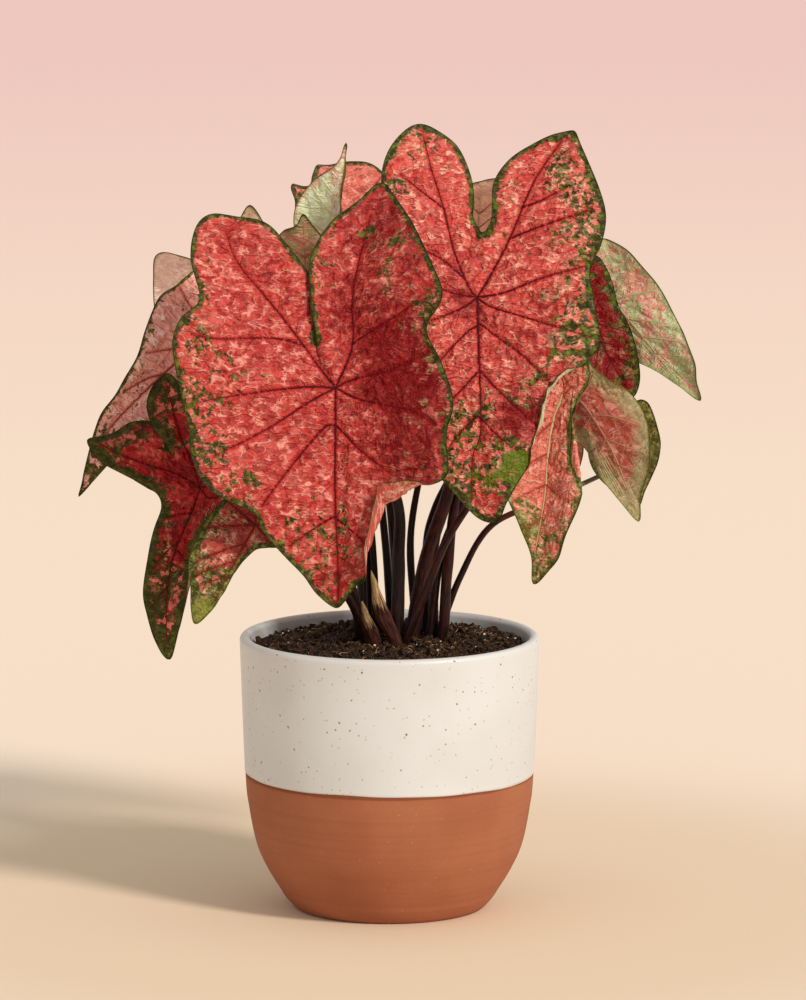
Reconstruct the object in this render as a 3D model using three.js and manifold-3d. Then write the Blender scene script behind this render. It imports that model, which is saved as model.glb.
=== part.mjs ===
// A potted caladium: a round-bottomed clay pot dipped in pale glaze, soil, a tuber with its
// dark leaf stalks, and eighteen waved, heart-shaped leaves.
// Millimetres, +Z up. The origin is the centre of the pot's foot, and the plant's front faces -Y.
import * as THREE from 'three';
import { mergeVertices } from 'three/addons/utils/BufferGeometryUtils.js';
import Module from 'manifold-3d';

const manifold = await Module();
manifold.setup();

// Driving dimensions of the pot
const GAP = 0.3;
const POT_HEIGHT = 152.5;
const WALL = 5.6;
const FLOOR = 9;
const CORNER = 12;
const GLAZE = 0.9;
const GLAZE_LINE = 76;
const POT_SIDE = [
  [52, 0], [54.4, 1.6], [59.6, 8], [68.2, 22], [74.2, 36], [78.2, 56], [80.2, 76], [82.9, 150],
];
const TURN_STEPS = 36;

// Driving dimensions of the soil and the stalks
const SOIL_EDGE = 145;
const SOIL_MOUND = 6;
const SOIL_RINGS = 6;
const SOIL_BUMP = 1.1;
const TUBER = { centre: [6, 0, 118], radius: [31, 31, 19], steps: [12, 7] };
const ROOT_SHARE = 0.7;
const STALK_FOOT = 124;
const SOIL_TOP = 151;
const STALK_SIDES = 6;
const STALK_STEPS = 9;
const SHEATH_STEPS = 5;
const STALK_SAG = 0.25;
const STALK_CLEARANCE = 1.1;

// Driving dimensions of the leaves
const BLADE = 0.8;
const RIB_SOFTNESS = 6;
const DISC_SHARE = 0.6;
const LOFT = [0.36, 0.68, 0.88, 1];
const SMALL_LOFT = [0.45, 0.82, 1];
const SMALL_LEAF = 70;
const LAP_WIDTH = 2.5;

const RED = 0xb5383a;
const ROSE = 0xc27467;
const PALE = 0xb5b283;

// A plain heart: how far the tip, sides, lobes and notch reach from the stalk.
function heart(tip, side, lobe, notch) {
  const mix = THREE.MathUtils.lerp;
  const half = [
    [11, mix(side, tip, 0.6)], [25, mix(side, tip, 0.3)], [43, 1.06 * side], [66, side], [90, 0.97 * side],
    [115, mix(side, lobe, 0.35)], [135, mix(side, lobe, 0.9)], [149, lobe], [161, mix(notch, lobe, 0.68)],
    [171, mix(notch, lobe, 0.25)],
  ];
  const mirrored = half.map(([bearing, reach]) => [360 - bearing, reach]).reverse();
  return [[0, tip], ...half, [180, notch], ...mirrored];
}

// Each leaf: where its stalk meets it, the tip's heading (degrees from the front, to the right),
// its climb and the blade's roll, then the outline as [bearing, reach] round the stalk from the
// tip. fold and cup bend the two halves up about the midrib, droop bends tip and lobes down,
// wave is [height, count, phase], lap lifts one lobe over the other, and curl rolls the margin up
// to a radius, beyond a line that starts gives as [bearing, reach].
const LEAVES = {
  leaf_front_left: {
    at: [-29, -70, 300], aim: [0, -66, 0], fold: [14, 16], cup: [5, 8], droop: [14, 8], wave: [3, 7, 0],
    lap: 4, colour: RED,
    curl: {
      radius: 6,
      starts: [
        [307, 81], [312, 76], [318, 70], [324, 68], [331, 67], [336, 66], [341, 74], [344, 80], [348, 89],
        [353, 108],
      ],
    },
    outline: [
      [0, 120], [5, 113], [9, 105], [16, 97], [27, 89], [32, 84], [40, 86], [52, 91], [63, 89], [72, 85],
      [84, 86], [99, 93], [109, 93], [120, 88], [129, 105], [138, 116], [144, 117], [150, 108], [157, 98],
      [161, 83], [167, 66], [171, 55], [167, 44], [160, 33], [157, 27], [160, 38], [163, 54], [169, 75],
      [179, 98], [187, 111], [192, 121], [197, 113], [207, 99], [221, 85], [233, 76], [240, 59], [260, 60],
      [280, 67], [295, 70], [307, 81], [314, 84], [322, 88], [331, 91], [337, 91], [343, 100], [348, 107],
      [353, 108], [357, 116],
    ],
  },
  leaf_front_right: {
    at: [48, -28, 344], aim: [4, -66, 0], fold: [10, 8], cup: [4, -6], droop: [12, 6], wave: [2.5, 6, 40],
    colour: RED,
    curl: {
      radius: 2.2,
      starts: [
        [300, 71], [306, 67], [312, 64], [318, 63], [325, 64], [331, 70], [337, 80], [342, 88], [346, 99],
      ],
    },
    outline: [
      [-4, 124], [1, 122], [8, 109], [15, 98], [22, 80], [31, 61], [50, 46], [75, 40], [100, 42], [120, 50],
      [133, 66], [142, 84], [151, 96], [161, 103], [168, 98], [175, 88], [180, 68], [179, 50], [182, 41],
      [187, 37], [191, 44], [190, 66], [194, 81], [201, 95], [207, 106], [211, 110], [216, 103], [229, 91],
      [239, 84], [248, 74], [257, 64], [274, 64], [293, 72], [302, 70], [312, 71], [322, 70], [329, 75],
      [336, 86], [342, 94], [348, 103], [353, 114],
    ],
  },
  leaf_left: {
    at: [-99, 6, 322], aim: [-53, -48, -62], fold: [10, 10], cup: [6, 6], droop: [22, 10],
    wave: [2.5, 5, 0], colour: ROSE,
    outline: [
      [2.5, 118], [5, 109], [8.5, 98], [13, 86], [18, 74], [23, 60], [33, 46], [50, 38], [71, 34],
      [88, 33], [104, 31], [117, 32], [128, 33], [140, 31], [154, 24], [176, 15], [196, 25], [216, 28],
      [242, 31], [272, 32], [304, 37], [328, 44], [344, 51], [354, 62], [360, 76], [362, 90], [362.5, 104],
    ],
  },
  leaf_low_left: {
    at: [-103, -45, 241], aim: [-31, -68, 0], fold: [22, 22], cup: [10, 10], droop: [10, 10],
    wave: [2, 5, 0], lap: 3, colour: RED,
    outline: [
      [2, 95], [8, 87], [14, 75], [20, 64], [28, 47], [40, 34], [58, 24], [80, 27], [90, 42], [95, 58],
      [102, 69], [107, 63], [113, 58], [123, 55], [131, 50], [136, 41], [133, 30], [130, 41], [134, 54],
      [140, 62], [146, 67], [151, 69], [156, 61], [161, 49], [178, 38], [198, 32], [230, 32], [262, 33],
      [290, 31], [320, 24], [345, 27], [353, 38], [356, 52], [357, 64], [359, 78],
    ],
  },
  leaf_low_front: {
    at: [-72, -83, 227], aim: [-48, -50, -20], fold: [14, 14], cup: [8, 8], droop: [14, 8],
    wave: [1.5, 4, 0], colour: ROSE,
    outline: [
      [3, 64], [9, 59], [18, 50], [34, 42], [52, 33], [72, 28], [98, 24], [125, 25], [148, 26], [166, 20],
      [184, 12], [203, 18], [226, 24], [252, 26], [278, 24], [304, 19], [330, 17], [347, 23], [355, 31],
      [357, 40], [359, 52],
    ],
  },
  leaf_low_right: {
    at: [95, -18, 289], aim: [-24, -66, 0], fold: [40, 20], cup: [4, 4], droop: [12, 8], wave: [1.5, 5, 0],
    colour: ROSE,
    outline: [
      [2, 106], [4, 91], [10, 78], [19, 68], [27, 60], [38, 48], [55, 32], [85, 20], [115, 18], [142, 22],
      [162, 24], [178, 16], [196, 23], [218, 23], [248, 16], [285, 11], [321, 13], [337, 25], [342, 39],
      [339, 51], [338, 61], [345, 74], [351, 87], [356, 97],
    ],
  },
  leaf_right: {
    at: [104, 2, 284], aim: [73, -63, -78], fold: [14, 4], cup: [8, 0], droop: [14, 8], wave: [2, 5, 0],
    colour: PALE,
    outline: [
      [3, 76], [8, 66], [15, 60], [26, 54], [39, 46], [54, 38], [73, 29], [92, 22], [110, 20], [137, 22],
      [152, 29], [164, 34], [180, 29], [196, 22], [216, 14], [243, 17], [266, 24], [286, 29], [305, 28],
      [323, 25], [336, 28], [346, 37], [354, 49], [359, 62],
    ],
  },
  leaf_top_right: {
    at: [124, 52, 332], aim: [76, -48, -76], fold: [12, 4], cup: [8, 0], droop: [16, 8], wave: [2, 5, 0],
    colour: PALE,
    outline: [
      [3, 75], [9, 66], [16, 58], [25, 47], [38, 36], [60, 29], [90, 27], [118, 30], [137, 33], [150, 35],
      [166, 33], [185, 27], [208, 20], [236, 16], [263, 24], [281, 33], [295, 39], [309, 41], [324, 38],
      [341, 38], [353, 47], [359, 61],
    ],
  },
  leaf_behind_right: {
    at: [104, 30, 334], aim: [76, -58, 55], fold: [10, 10], cup: [5, 5], droop: [16, 8], wave: [1.5, 4, 0],
    colour: RED,
    outline: [
      [-1, 62], [8, 59], [20, 53], [34, 47], [50, 40], [70, 32], [96, 27], [124, 24], [150, 25], [174, 26],
      [191, 22], [208, 14], [220, 22], [232, 28], [250, 26], [275, 23], [308, 24], [328, 34], [342, 46],
      [351, 57],
    ],
  },
  leaf_small_right: {
    at: [129, 38, 247], aim: [55, -62, 40], fold: [10, 10], cup: [8, 8], droop: [10, 8], wave: [1, 4, 0],
    colour: RED,
    outline: [
      [6, 31], [26, 23], [56, 20], [88, 19], [120, 20], [150, 23], [172, 27], [185, 28], [195, 23],
      [204, 15], [211, 24], [219, 32], [227, 34], [237, 31], [254, 26], [276, 23], [300, 21], [326, 21],
      [348, 24],
    ],
  },
  leaf_top_left: {
    at: [-35, 50, 370], aim: [43, 72, -43], fold: [10, 10], cup: [8, 8], droop: [0, 8], wave: [1, 5, 0],
    colour: PALE,
    outline: [
      [0, 54], [2, 46], [7, 39], [26, 31], [54, 24], [80, 20], [116, 18], [150, 22], [168, 27], [181, 17],
      [200, 27], [218, 20], [258, 13], [325, 13], [350, 21], [355, 31], [358, 44],
    ],
  },
  leaf_back_top: {
    at: [-25, 88, 366], aim: [37, -55, 0], fold: [8, 8], cup: [6, 6], droop: [10, 8], wave: [2, 5, 0],
    colour: RED,
    outline: [
      [-2, 43], [21, 40], [48, 37], [74, 37], [99, 36], [122, 36], [136, 40], [148, 39], [157, 33],
      [166, 37], [180, 44], [195, 46], [207, 48], [219, 50], [232, 50], [247, 46], [266, 40], [295, 35],
      [322, 34], [342, 38],
    ],
  },
  leaf_inner_left: {
    at: [-46, 20, 342], aim: [-11, 79, 11], fold: [12, 12], cup: [10, 10], droop: [0, 8], wave: [1, 5, 0],
    colour: ROSE,
    outline: [
      [0, 44], [6, 38], [18, 36], [31, 32], [51, 26], [85, 22], [120, 20], [145, 17], [168, 11], [190, 13],
      [212, 17], [242, 18], [276, 19], [311, 22], [338, 30], [353, 38],
    ],
  },
  leaf_upper_left: {
    at: [-76, 36, 341], aim: [-8, 80, 8], fold: [12, 12], cup: [10, 10], droop: [0, 8], wave: [1, 5, 0],
    colour: ROSE, outline: heart(48, 24, 21, 11),
  },
  leaf_inner_right: {
    at: [48, 38, 355], aim: [20, 80, -20], fold: [12, 12], cup: [10, 10], droop: [0, 8], wave: [1, 5, 0],
    colour: ROSE,
    outline: [
      [0, 47], [15, 44], [30, 37], [55, 29], [88, 25], [122, 23], [152, 20], [180, 12], [208, 20],
      [238, 23], [272, 25], [305, 30], [330, 41], [345, 49],
    ],
  },
  leaf_back_left: {
    at: [-88, 78, 310], aim: [-170, -60, 0], fold: [10, 10], cup: [6, 6], droop: [14, 10], wave: [2, 5, 0],
    colour: ROSE,
    outline: [
      [0, 76], [12, 62], [28, 50], [50, 43], [75, 41], [100, 42], [125, 46], [145, 46], [160, 38], [172, 29],
      [181, 25], [191, 35], [201, 49], [209, 60], [216, 68], [224, 68], [236, 57], [256, 46], [282, 40],
      [308, 41], [332, 49], [348, 62],
    ],
  },
  leaf_back: {
    at: [13, 109, 288], aim: [178, -56, 0], fold: [10, 10], cup: [6, 6], droop: [14, 10], wave: [2.5, 5, 60],
    colour: RED, outline: heart(80, 52, 64, 26),
  },
  leaf_back_right: {
    at: [64, 68, 268], aim: [134, -60, 0], fold: [10, 10], cup: [6, 6], droop: [14, 10], wave: [2.5, 6, 120],
    colour: RED, outline: heart(80, 50, 62, 26),
  },
};

// Each stalk: its foot on the soil, the places it passes, how far under the blade it turns to
// meet it, and its radius at the foot and at the blade.
const STALKS = {
  leaf_front_left: { foot: [4, -18], via: [[5, -16, 197], [4, -14, 230]], turn: 26, radius: [4.4, 2] },
  leaf_front_right: {
    foot: [12, -14], via: [[21, -8, 198], [33, -6, 235], [42, 0, 283]],
    turn: 26, radius: [4.8, 2.2],
  },
  leaf_left: { foot: [-14, -6], via: [[-19, -2, 206], [-55, 10, 271]], turn: 22, radius: [3.2, 1.5] },
  leaf_low_left: {
    foot: [-16, -14], via: [[-21, -20, 183], [-49, -36, 228]],
    turn: 18, radius: [3, 1.5],
  },
  leaf_low_front: {
    foot: [-13, -21], via: [[-22, -36, 178], [-43, -54, 211]],
    turn: 14, radius: [2.6, 1.3],
  },
  leaf_low_right: {
    foot: [9, -22], via: [[20, -24, 180], [33, -26, 212], [61, -14, 247]],
    turn: 16, radius: [2.6, 1.3],
  },
  leaf_right: { foot: [22, -2], via: [[31, 0, 205], [61, 4, 255]], turn: 16, radius: [2.8, 1.4] },
  leaf_top_right: { foot: [24, 6], via: [[28, 10, 214], [76, 19, 288]], turn: 16, radius: [2.8, 1.4] },
  leaf_behind_right: {
    foot: [29, -6], via: [[32, -4, 189], [40, 0, 239], [78, 12, 298]],
    turn: 16, radius: [3.4, 1.6],
  },
  leaf_small_right: {
    foot: [27, 2], via: [[39, 6, 183], [56, 12, 211], [86, 20, 224]],
    turn: 14, radius: [2.2, 1.2],
  },
  leaf_top_left: { foot: [1, 12], via: [[-3, 14, 209], [-12, 20, 280]], turn: 18, radius: [2.6, 1.3] },
  leaf_back_top: {
    foot: [5, 18], via: [[0, 28, 223], [-10, 42, 296], [-22, 70, 326]],
    turn: 10, radius: [2.8, 1.4],
  },
  leaf_inner_left: { foot: [-7, 6], via: [[-11, 4, 216], [-27, 4, 283]], turn: 16, radius: [2.4, 1.2] },
  leaf_upper_left: {
    foot: [-12, 4], via: [[-16, 10, 227], [-44, 26, 293]],
    turn: 16, radius: [2.4, 1.2],
  },
  leaf_inner_right: { foot: [14, 4], via: [[12, 8, 210], [28, 16, 281]], turn: 18, radius: [2.4, 1.2] },
  leaf_back_left: {
    foot: [-10, 14], via: [[-14, 28, 206], [-38, 46, 258]],
    turn: 18, radius: [2.8, 1.4],
  },
  leaf_back: { foot: [4, 22], via: [[3, 44, 209], [4, 70, 245]], turn: 18, radius: [2.8, 1.4] },
  leaf_back_right: {
    foot: [20, 14], via: [[22, 30, 208], [38, 44, 240]],
    turn: 18, radius: [2.8, 1.4],
  },
};

// Dry sheaths left standing at the crown.
const SHEATHS = [
  { foot: [4, -24], via: [[-4, -24, 168]], end: [-10, -23, 192], radius: [3, 1] },
  { foot: [-8, -22], via: [[-12, -26, 164]], end: [-15, -29, 176], radius: [2.6, 1] },
];

const radians = THREE.MathUtils.degToRad;

// Along and up after distance s on an arc that starts at angle start and turns by bend per mm.
function arc(s, start, bend) {
  const turn = Math.abs(bend) < 1e-7 ? 1e-7 : bend;
  const end = start + turn * s;
  return [(Math.sin(end) - Math.sin(start)) / turn, (Math.cos(start) - Math.cos(end)) / turn];
}

// How far out a margin starts to roll at a bearing, or Infinity where the line doesn't reach.
function curlStart(starts, bearing) {
  const turned = THREE.MathUtils.euclideanModulo(bearing, 360);
  const after = starts.findIndex(([place]) => place >= turned);
  if (after < 1) {
    return Infinity;
  }
  const [from, near] = starts[after - 1];
  const [to, far] = starts[after];
  return THREE.MathUtils.mapLinear(turned, from, to, near, far);
}

// The leaf's flat point (x, y) bent to its place in space. share is how far it lies towards the
// margin, and past is how many outline points it lies after the notch.
function bend(leaf, x, y, share, past) {
  const count = leaf.outline.length;
  let z = 0;
  if (leaf.curl) {
    const { radius, starts } = leaf.curl;
    const reach = Math.hypot(x, y);
    const over = Math.max(0, reach - curlStart(starts, THREE.MathUtils.radToDeg(Math.atan2(x, y))));
    const shorter = (reach - over + radius * Math.sin(over / radius)) / Math.max(reach, 1e-9);
    z += radius * (1 - Math.cos(over / radius));
    x *= shorter;
    y *= shorter;
  }
  const [height, waves, phase] = leaf.wave;
  z += height * share ** 2.2 * Math.sin(waves * past / count * 2 * Math.PI + radians(phase));
  const lap = past / LAP_WIDTH;
  z += (leaf.lap ?? 0) * share * lap * Math.exp(0.5 - lap * lap);

  const half = x >= 0 ? 0 : 1;
  const side = x >= 0 ? 1 : -1;
  const out = Math.hypot(x, RIB_SOFTNESS) - RIB_SOFTNESS;
  const foldBend = radians(leaf.cup[half]) / 100;
  const [across, up] = arc(out, radians(leaf.fold[half]), foldBend);
  const slope = radians(leaf.fold[half]) + foldBend * out;
  const grown = out / (out + RIB_SOFTNESS);
  const bentX = side * (across + Math.abs(x) - out - z * Math.sin(slope) * grown);
  const bentZ = up + z * Math.cos(slope);

  const droopBend = -radians(y >= 0 ? leaf.droop[0] : leaf.droop[1]) / 100;
  const [along, down] = arc(Math.abs(y), 0, droopBend);
  const tilt = droopBend * Math.abs(y);
  const bentY = Math.sign(y) * (along - bentZ * Math.sin(tilt));
  return new THREE.Vector3(bentX, bentY, down + bentZ * Math.cos(tilt));
}

// The turn that takes the leaf's own axes (across, towards the tip, out of the upper face) to
// their place on the plant.
function leafFrame(leaf) {
  const [heading, climb, roll] = leaf.aim.map(radians);
  const tip = new THREE.Vector3(
    Math.sin(heading) * Math.cos(climb), -Math.cos(heading) * Math.cos(climb), Math.sin(climb));
  const level = new THREE.Vector3(tip.y, -tip.x, 0).normalize();
  const face = new THREE.Vector3().crossVectors(level, tip).applyAxisAngle(tip, roll);
  const across = new THREE.Vector3().crossVectors(tip, face);
  return new THREE.Matrix4().makeBasis(across, tip, face).setPosition(...leaf.at);
}

// The notch is the outline's nearest point on the side away from the tip.
function notchIndex(outline) {
  const behind = outline.filter(([bearing]) => bearing > 125 && bearing < 235);
  const reach = Math.min(...behind.map((point) => point[1]));
  return outline.findIndex((point) => behind.includes(point) && point[1] === reach);
}

// Rings of points from the stalk outwards: one on a small disc, then the loft to the margin.
function bladeRings(leaf) {
  const count = leaf.outline.length;
  const notch = notchIndex(leaf.outline);
  const disc = DISC_SHARE * Math.min(...leaf.outline.map((point) => point[1]));
  const edge = leaf.outline.map(([bearing, reach]) => {
    return [reach * Math.sin(radians(bearing)), reach * Math.cos(radians(bearing))];
  });
  const ring = (part) => edge.map(([edgeX, edgeY], index) => {
    const turn = radians(leaf.outline[notch][0] + (index - notch) / count * 360);
    const x = THREE.MathUtils.lerp(disc * Math.sin(turn), edgeX, part);
    const y = THREE.MathUtils.lerp(disc * Math.cos(turn), edgeY, part);
    const past = THREE.MathUtils.euclideanModulo(index - notch + count / 2, count) - count / 2;
    const share = Math.min(1, Math.hypot(x, y) / Math.hypot(edgeX, edgeY));
    return bend(leaf, x, y, part === 1 ? 1 : share, past);
  });
  const loft = leaf.outline[0][1] < SMALL_LEAF ? SMALL_LOFT : LOFT;
  return [0, ...loft].map(ring);
}

// Triangles of a fan from one middle point and the bands between rings, as index triples.
function discFaces(rings, count) {
  const faces = [];
  for (let spoke = 0; spoke < count; spoke += 1) {
    const next = (spoke + 1) % count;
    faces.push([0, 1 + next, 1 + spoke]);
    for (let ring = 0; ring < rings - 1; ring += 1) {
      const inner = 1 + ring * count;
      const outer = inner + count;
      faces.push([inner + spoke, inner + next, outer + next]);
      faces.push([inner + spoke, outer + next, outer + spoke]);
    }
  }
  return faces;
}

function geometryOf(points, faces) {
  const geometry = new THREE.BufferGeometry();
  const numbers = points.flatMap((point) => point.toArray());
  geometry.setAttribute('position', new THREE.Float32BufferAttribute(numbers, 3));
  geometry.setIndex(faces.flat());
  geometry.computeVertexNormals();
  return geometry;
}

// A blade of even thickness, with the same triangles on both faces and a rim between them.
function bladeGeometry(leaf) {
  const rings = bladeRings(leaf);
  const count = leaf.outline.length;
  const points = [bend(leaf, 0, 0, 0, 0), ...rings.flat()];
  const faces = discFaces(rings.length, count);
  const normals = geometryOf(points, faces).getAttribute('normal');
  const shifted = (amount) => points.map((point, index) => {
    const normal = new THREE.Vector3().fromBufferAttribute(normals, index);
    return point.clone().addScaledVector(normal, amount);
  });
  const size = points.length;
  const rim = [];
  for (let spoke = 0; spoke < count; spoke += 1) {
    const here = size - count + spoke;
    const next = size - count + (spoke + 1) % count;
    rim.push([here, next, size + next], [here, size + next, size + here]);
  }
  const under = faces.map(([a, b, c]) => [size + a, size + c, size + b]);
  const geometry = geometryOf([...shifted(BLADE / 2), ...shifted(-BLADE / 2)], [...faces, ...under, ...rim]);
  return geometry.applyMatrix4(leafFrame(leaf));
}

// A round stem along a curve that narrows evenly from foot to end, closed at both ends.
function stemGeometry(places, radius, sides, steps) {
  const curve = new THREE.CatmullRomCurve3(places, false, 'centripetal');
  const frames = curve.computeFrenetFrames(steps, false);
  const points = [];
  for (let step = 0; step <= steps; step += 1) {
    const middle = curve.getPointAt(step / steps);
    const size = THREE.MathUtils.lerp(radius[0], radius[1], step / steps);
    for (let corner = 0; corner < sides; corner += 1) {
      const turn = corner / sides * 2 * Math.PI;
      const point = middle.clone().addScaledVector(frames.normals[step], size * Math.cos(turn));
      points.push(point.addScaledVector(frames.binormals[step], size * Math.sin(turn)));
    }
  }
  const faces = [];
  for (let corner = 0; corner < sides; corner += 1) {
    const next = (corner + 1) % sides;
    for (let step = 0; step < steps; step += 1) {
      const low = step * sides;
      const high = low + sides;
      faces.push([low + corner, low + next, high + next], [low + corner, high + next, high + corner]);
    }
  }
  const last = steps * sides;
  for (let corner = 1; corner < sides - 1; corner += 1) {
    faces.push([0, corner + 1, corner], [last, last + corner, last + corner + 1]);
  }
  return geometryOf(points, faces);
}

// The places a stalk passes on its way from the tuber to the underside of its blade.
function stalkPlaces(name) {
  const { foot, via, turn } = STALKS[name];
  const frame = leafFrame(LEAVES[name]);
  const end = new THREE.Vector3(0, 0, -BLADE / 2 - STALK_CLEARANCE).applyMatrix4(frame);
  const before = new THREE.Vector3(0, 0, -turn).applyMatrix4(frame);
  before.z -= STALK_SAG * turn;
  return [...rootPlaces(foot), ...via.map((place) => new THREE.Vector3(...place)), before, end];
}

function rootPlaces([x, y]) {
  return [new THREE.Vector3(ROOT_SHARE * x, ROOT_SHARE * y, STALK_FOOT), new THREE.Vector3(x, y, SOIL_TOP)];
}

function solidOf(geometry) {
  const plain = geometry.clone();
  plain.deleteAttribute('normal');
  plain.deleteAttribute('uv');
  const merged = mergeVertices(plain, 1e-4);
  const vertProperties = new Float32Array(merged.getAttribute('position').array);
  const triVerts = new Uint32Array(merged.index.array);
  return new manifold.Manifold(new manifold.Mesh({ numProp: 3, vertProperties, triVerts }));
}

function geometryFrom(solid) {
  const { vertProperties, triVerts } = solid.getMesh();
  const geometry = new THREE.BufferGeometry();
  geometry.setAttribute('position', new THREE.BufferAttribute(vertProperties, 3));
  geometry.setIndex(new THREE.BufferAttribute(triVerts, 1));
  geometry.computeVertexNormals();
  return geometry;
}

// The tuber with every stalk and sheath grown out of it, larger all round by grow.
function stemSolid(grow) {
  const [radiusX, radiusY, radiusZ] = TUBER.radius;
  const tuber = new THREE.SphereGeometry(1, ...TUBER.steps)
    .rotateX(Math.PI / 2)
    .scale(radiusX + grow, radiusY + grow, radiusZ + grow)
    .translate(...TUBER.centre);
  const grown = ([foot, end]) => [foot + grow, end + grow];
  const stalks = Object.keys(STALKS).map((name) => {
    return stemGeometry(stalkPlaces(name), grown(STALKS[name].radius), STALK_SIDES, STALK_STEPS);
  });
  const sheaths = SHEATHS.map(({ foot, via, end, radius }) => {
    const places = [...rootPlaces(foot), ...[...via, end].map((place) => new THREE.Vector3(...place))];
    return stemGeometry(places, grown(radius), STALK_SIDES, SHEATH_STEPS);
  });
  return [...stalks, ...sheaths].reduce((body, stem) => body.add(solidOf(stem)), solidOf(tuber));
}

// The pot's outer radius at a height, on a smooth curve through POT_SIDE.
const SIDE_CURVE = new THREE.SplineCurve(POT_SIDE.map((place) => new THREE.Vector2(...place)));
const SIDE_SAMPLES = SIDE_CURVE.getSpacedPoints(200);
function outerRadius(height) {
  const above = Math.max(1, SIDE_SAMPLES.findIndex((sample) => sample.y >= height));
  const low = SIDE_SAMPLES[above - 1];
  const high = SIDE_SAMPLES[above];
  return THREE.MathUtils.mapLinear(height, low.y, high.y, low.x, high.x);
}

// Points up the pot's side between two heights, set in from the outside by inset.
function sidePoints(from, to, count, inset) {
  const points = [];
  for (let step = 0; step <= count; step += 1) {
    const height = THREE.MathUtils.lerp(from, to, step / count);
    points.push(new THREE.Vector2(outerRadius(height) - inset, height));
  }
  return points;
}

// A half-round lip from the outside to the inside of a wall between two radii.
function lipPoints(outer, inner, top, steps) {
  const radius = (outer - inner) / 2;
  const points = [];
  for (let step = 1; step < steps; step += 1) {
    const turn = step / steps * Math.PI;
    const out = outer - radius + radius * Math.cos(turn);
    points.push(new THREE.Vector2(out, top - radius + radius * Math.sin(turn)));
  }
  return points;
}

// The inside of the pot, inset from the outside by thickness, from the lip down to the floor,
// with a quarter round between them.
function insidePoints(top, floor, thickness) {
  const wall = sidePoints(floor + CORNER, top, 4, thickness).reverse();
  const middle = wall[wall.length - 1].x - CORNER;
  const round = [0.5, 1].map((part) => {
    const turn = part * Math.PI / 2;
    return new THREE.Vector2(middle + CORNER * Math.cos(turn), floor + CORNER * (1 - Math.sin(turn)));
  });
  return [...wall, ...round];
}

function turned(points) {
  return new THREE.LatheGeometry(points, TURN_STEPS).rotateX(Math.PI / 2);
}

const COAT = GLAZE + GAP;
const LIP = WALL / 2;

function potGeometry() {
  const top = POT_HEIGHT - COAT - (LIP - COAT);
  const upper = sidePoints(GLAZE_LINE - GAP, top, 3, COAT);
  const inside = insidePoints(top, FLOOR, WALL - COAT);
  return turned([
    new THREE.Vector2(0, 0),
    ...sidePoints(0, 8, 2, 0),
    ...sidePoints(15, GLAZE_LINE - GAP, 6, 0),
    ...upper,
    ...lipPoints(upper[3].x, inside[0].x, POT_HEIGHT - COAT, 4),
    ...inside,
    new THREE.Vector2(0, FLOOR),
  ]);
}

function glazeGeometry() {
  const top = POT_HEIGHT - LIP;
  const outside = sidePoints(GLAZE_LINE, top, 3, 0);
  const inside = insidePoints(top, FLOOR + COAT, WALL);
  const back = sidePoints(GLAZE_LINE, top, 3, GLAZE);
  const lining = insidePoints(top, FLOOR + GAP, WALL - GLAZE);
  return turned([
    new THREE.Vector2(0, FLOOR + GAP),
    ...lining.reverse(),
    ...lipPoints(back[3].x, lining[lining.length - 1].x, POT_HEIGHT - GLAZE, 4).reverse(),
    ...back.reverse(),
    ...outside,
    ...lipPoints(outside[3].x, inside[0].x, POT_HEIGHT, 6),
    ...inside,
    new THREE.Vector2(0, FLOOR + COAT),
  ]);
}

// Two crossed waves, about 30 and 15 mm long, for the lumps on the soil.
function lumps(x, y) {
  return Math.sin(0.21 * x + 1.3) * Math.cos(0.17 * y + 0.4) + Math.sin(0.43 * y + 0.31 * x);
}

// Soil that fills the pot, mounded and lumpy on top, with a close-fitting hole for the stems.
function soilGeometry() {
  const floor = FLOOR + COAT + GAP;
  const side = insidePoints(SOIL_EDGE, floor, WALL + 2 * GAP).reverse();
  const points = [new THREE.Vector3(0, 0, floor)];
  const addRing = (radius, heightAt) => {
    for (let step = 0; step < TURN_STEPS; step += 1) {
      const turn = step / TURN_STEPS * 2 * Math.PI;
      const x = radius * Math.cos(turn);
      const y = radius * Math.sin(turn);
      points.push(new THREE.Vector3(x, y, heightAt(x, y)));
    }
  };
  side.forEach(({ x, y }) => addRing(x, () => y));
  const rim = side[side.length - 1].x;
  const heightAt = (x, y) => {
    const inward = 1 - Math.hypot(x, y) / rim;
    const mound = SOIL_MOUND * (1 - (1 - inward) ** 2);
    return SOIL_EDGE + mound + SOIL_BUMP * lumps(x, y) * Math.min(1, 4 * inward);
  };
  for (let ring = SOIL_RINGS - 1; ring > 0; ring -= 1) {
    addRing(rim * ring / SOIL_RINGS, heightAt);
  }
  points.push(new THREE.Vector3(0, 0, heightAt(0, 0)));
  const rings = side.length + SOIL_RINGS - 1;
  const faces = discFaces(rings, TURN_STEPS);
  const last = points.length - 1;
  for (let step = 0; step < TURN_STEPS; step += 1) {
    const next = (step + 1) % TURN_STEPS;
    faces.push([last, last - TURN_STEPS + step, last - TURN_STEPS + next]);
  }
  return geometryFrom(solidOf(geometryOf(points, faces)).subtract(stemSolid(GAP)));
}

const model = new THREE.Group();
function addPiece(name, geometry, color, roughness) {
  const piece = new THREE.Mesh(geometry, new THREE.MeshStandardMaterial({ color, roughness, metalness: 0 }));
  piece.name = name;
  model.add(piece);
}

addPiece('pot', potGeometry(), 0xb4693f, 0.85);
addPiece('pot_glaze', glazeGeometry(), 0xeee8da, 0.35);
addPiece('soil', soilGeometry(), 0x33261a, 0.95);
addPiece('stalks', geometryFrom(stemSolid(0)), 0x2c1812, 0.5);
for (const [name, leaf] of Object.entries(LEAVES)) {
  addPiece(name, bladeGeometry(leaf), leaf.colour, 0.5);
}

export default model;
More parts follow.
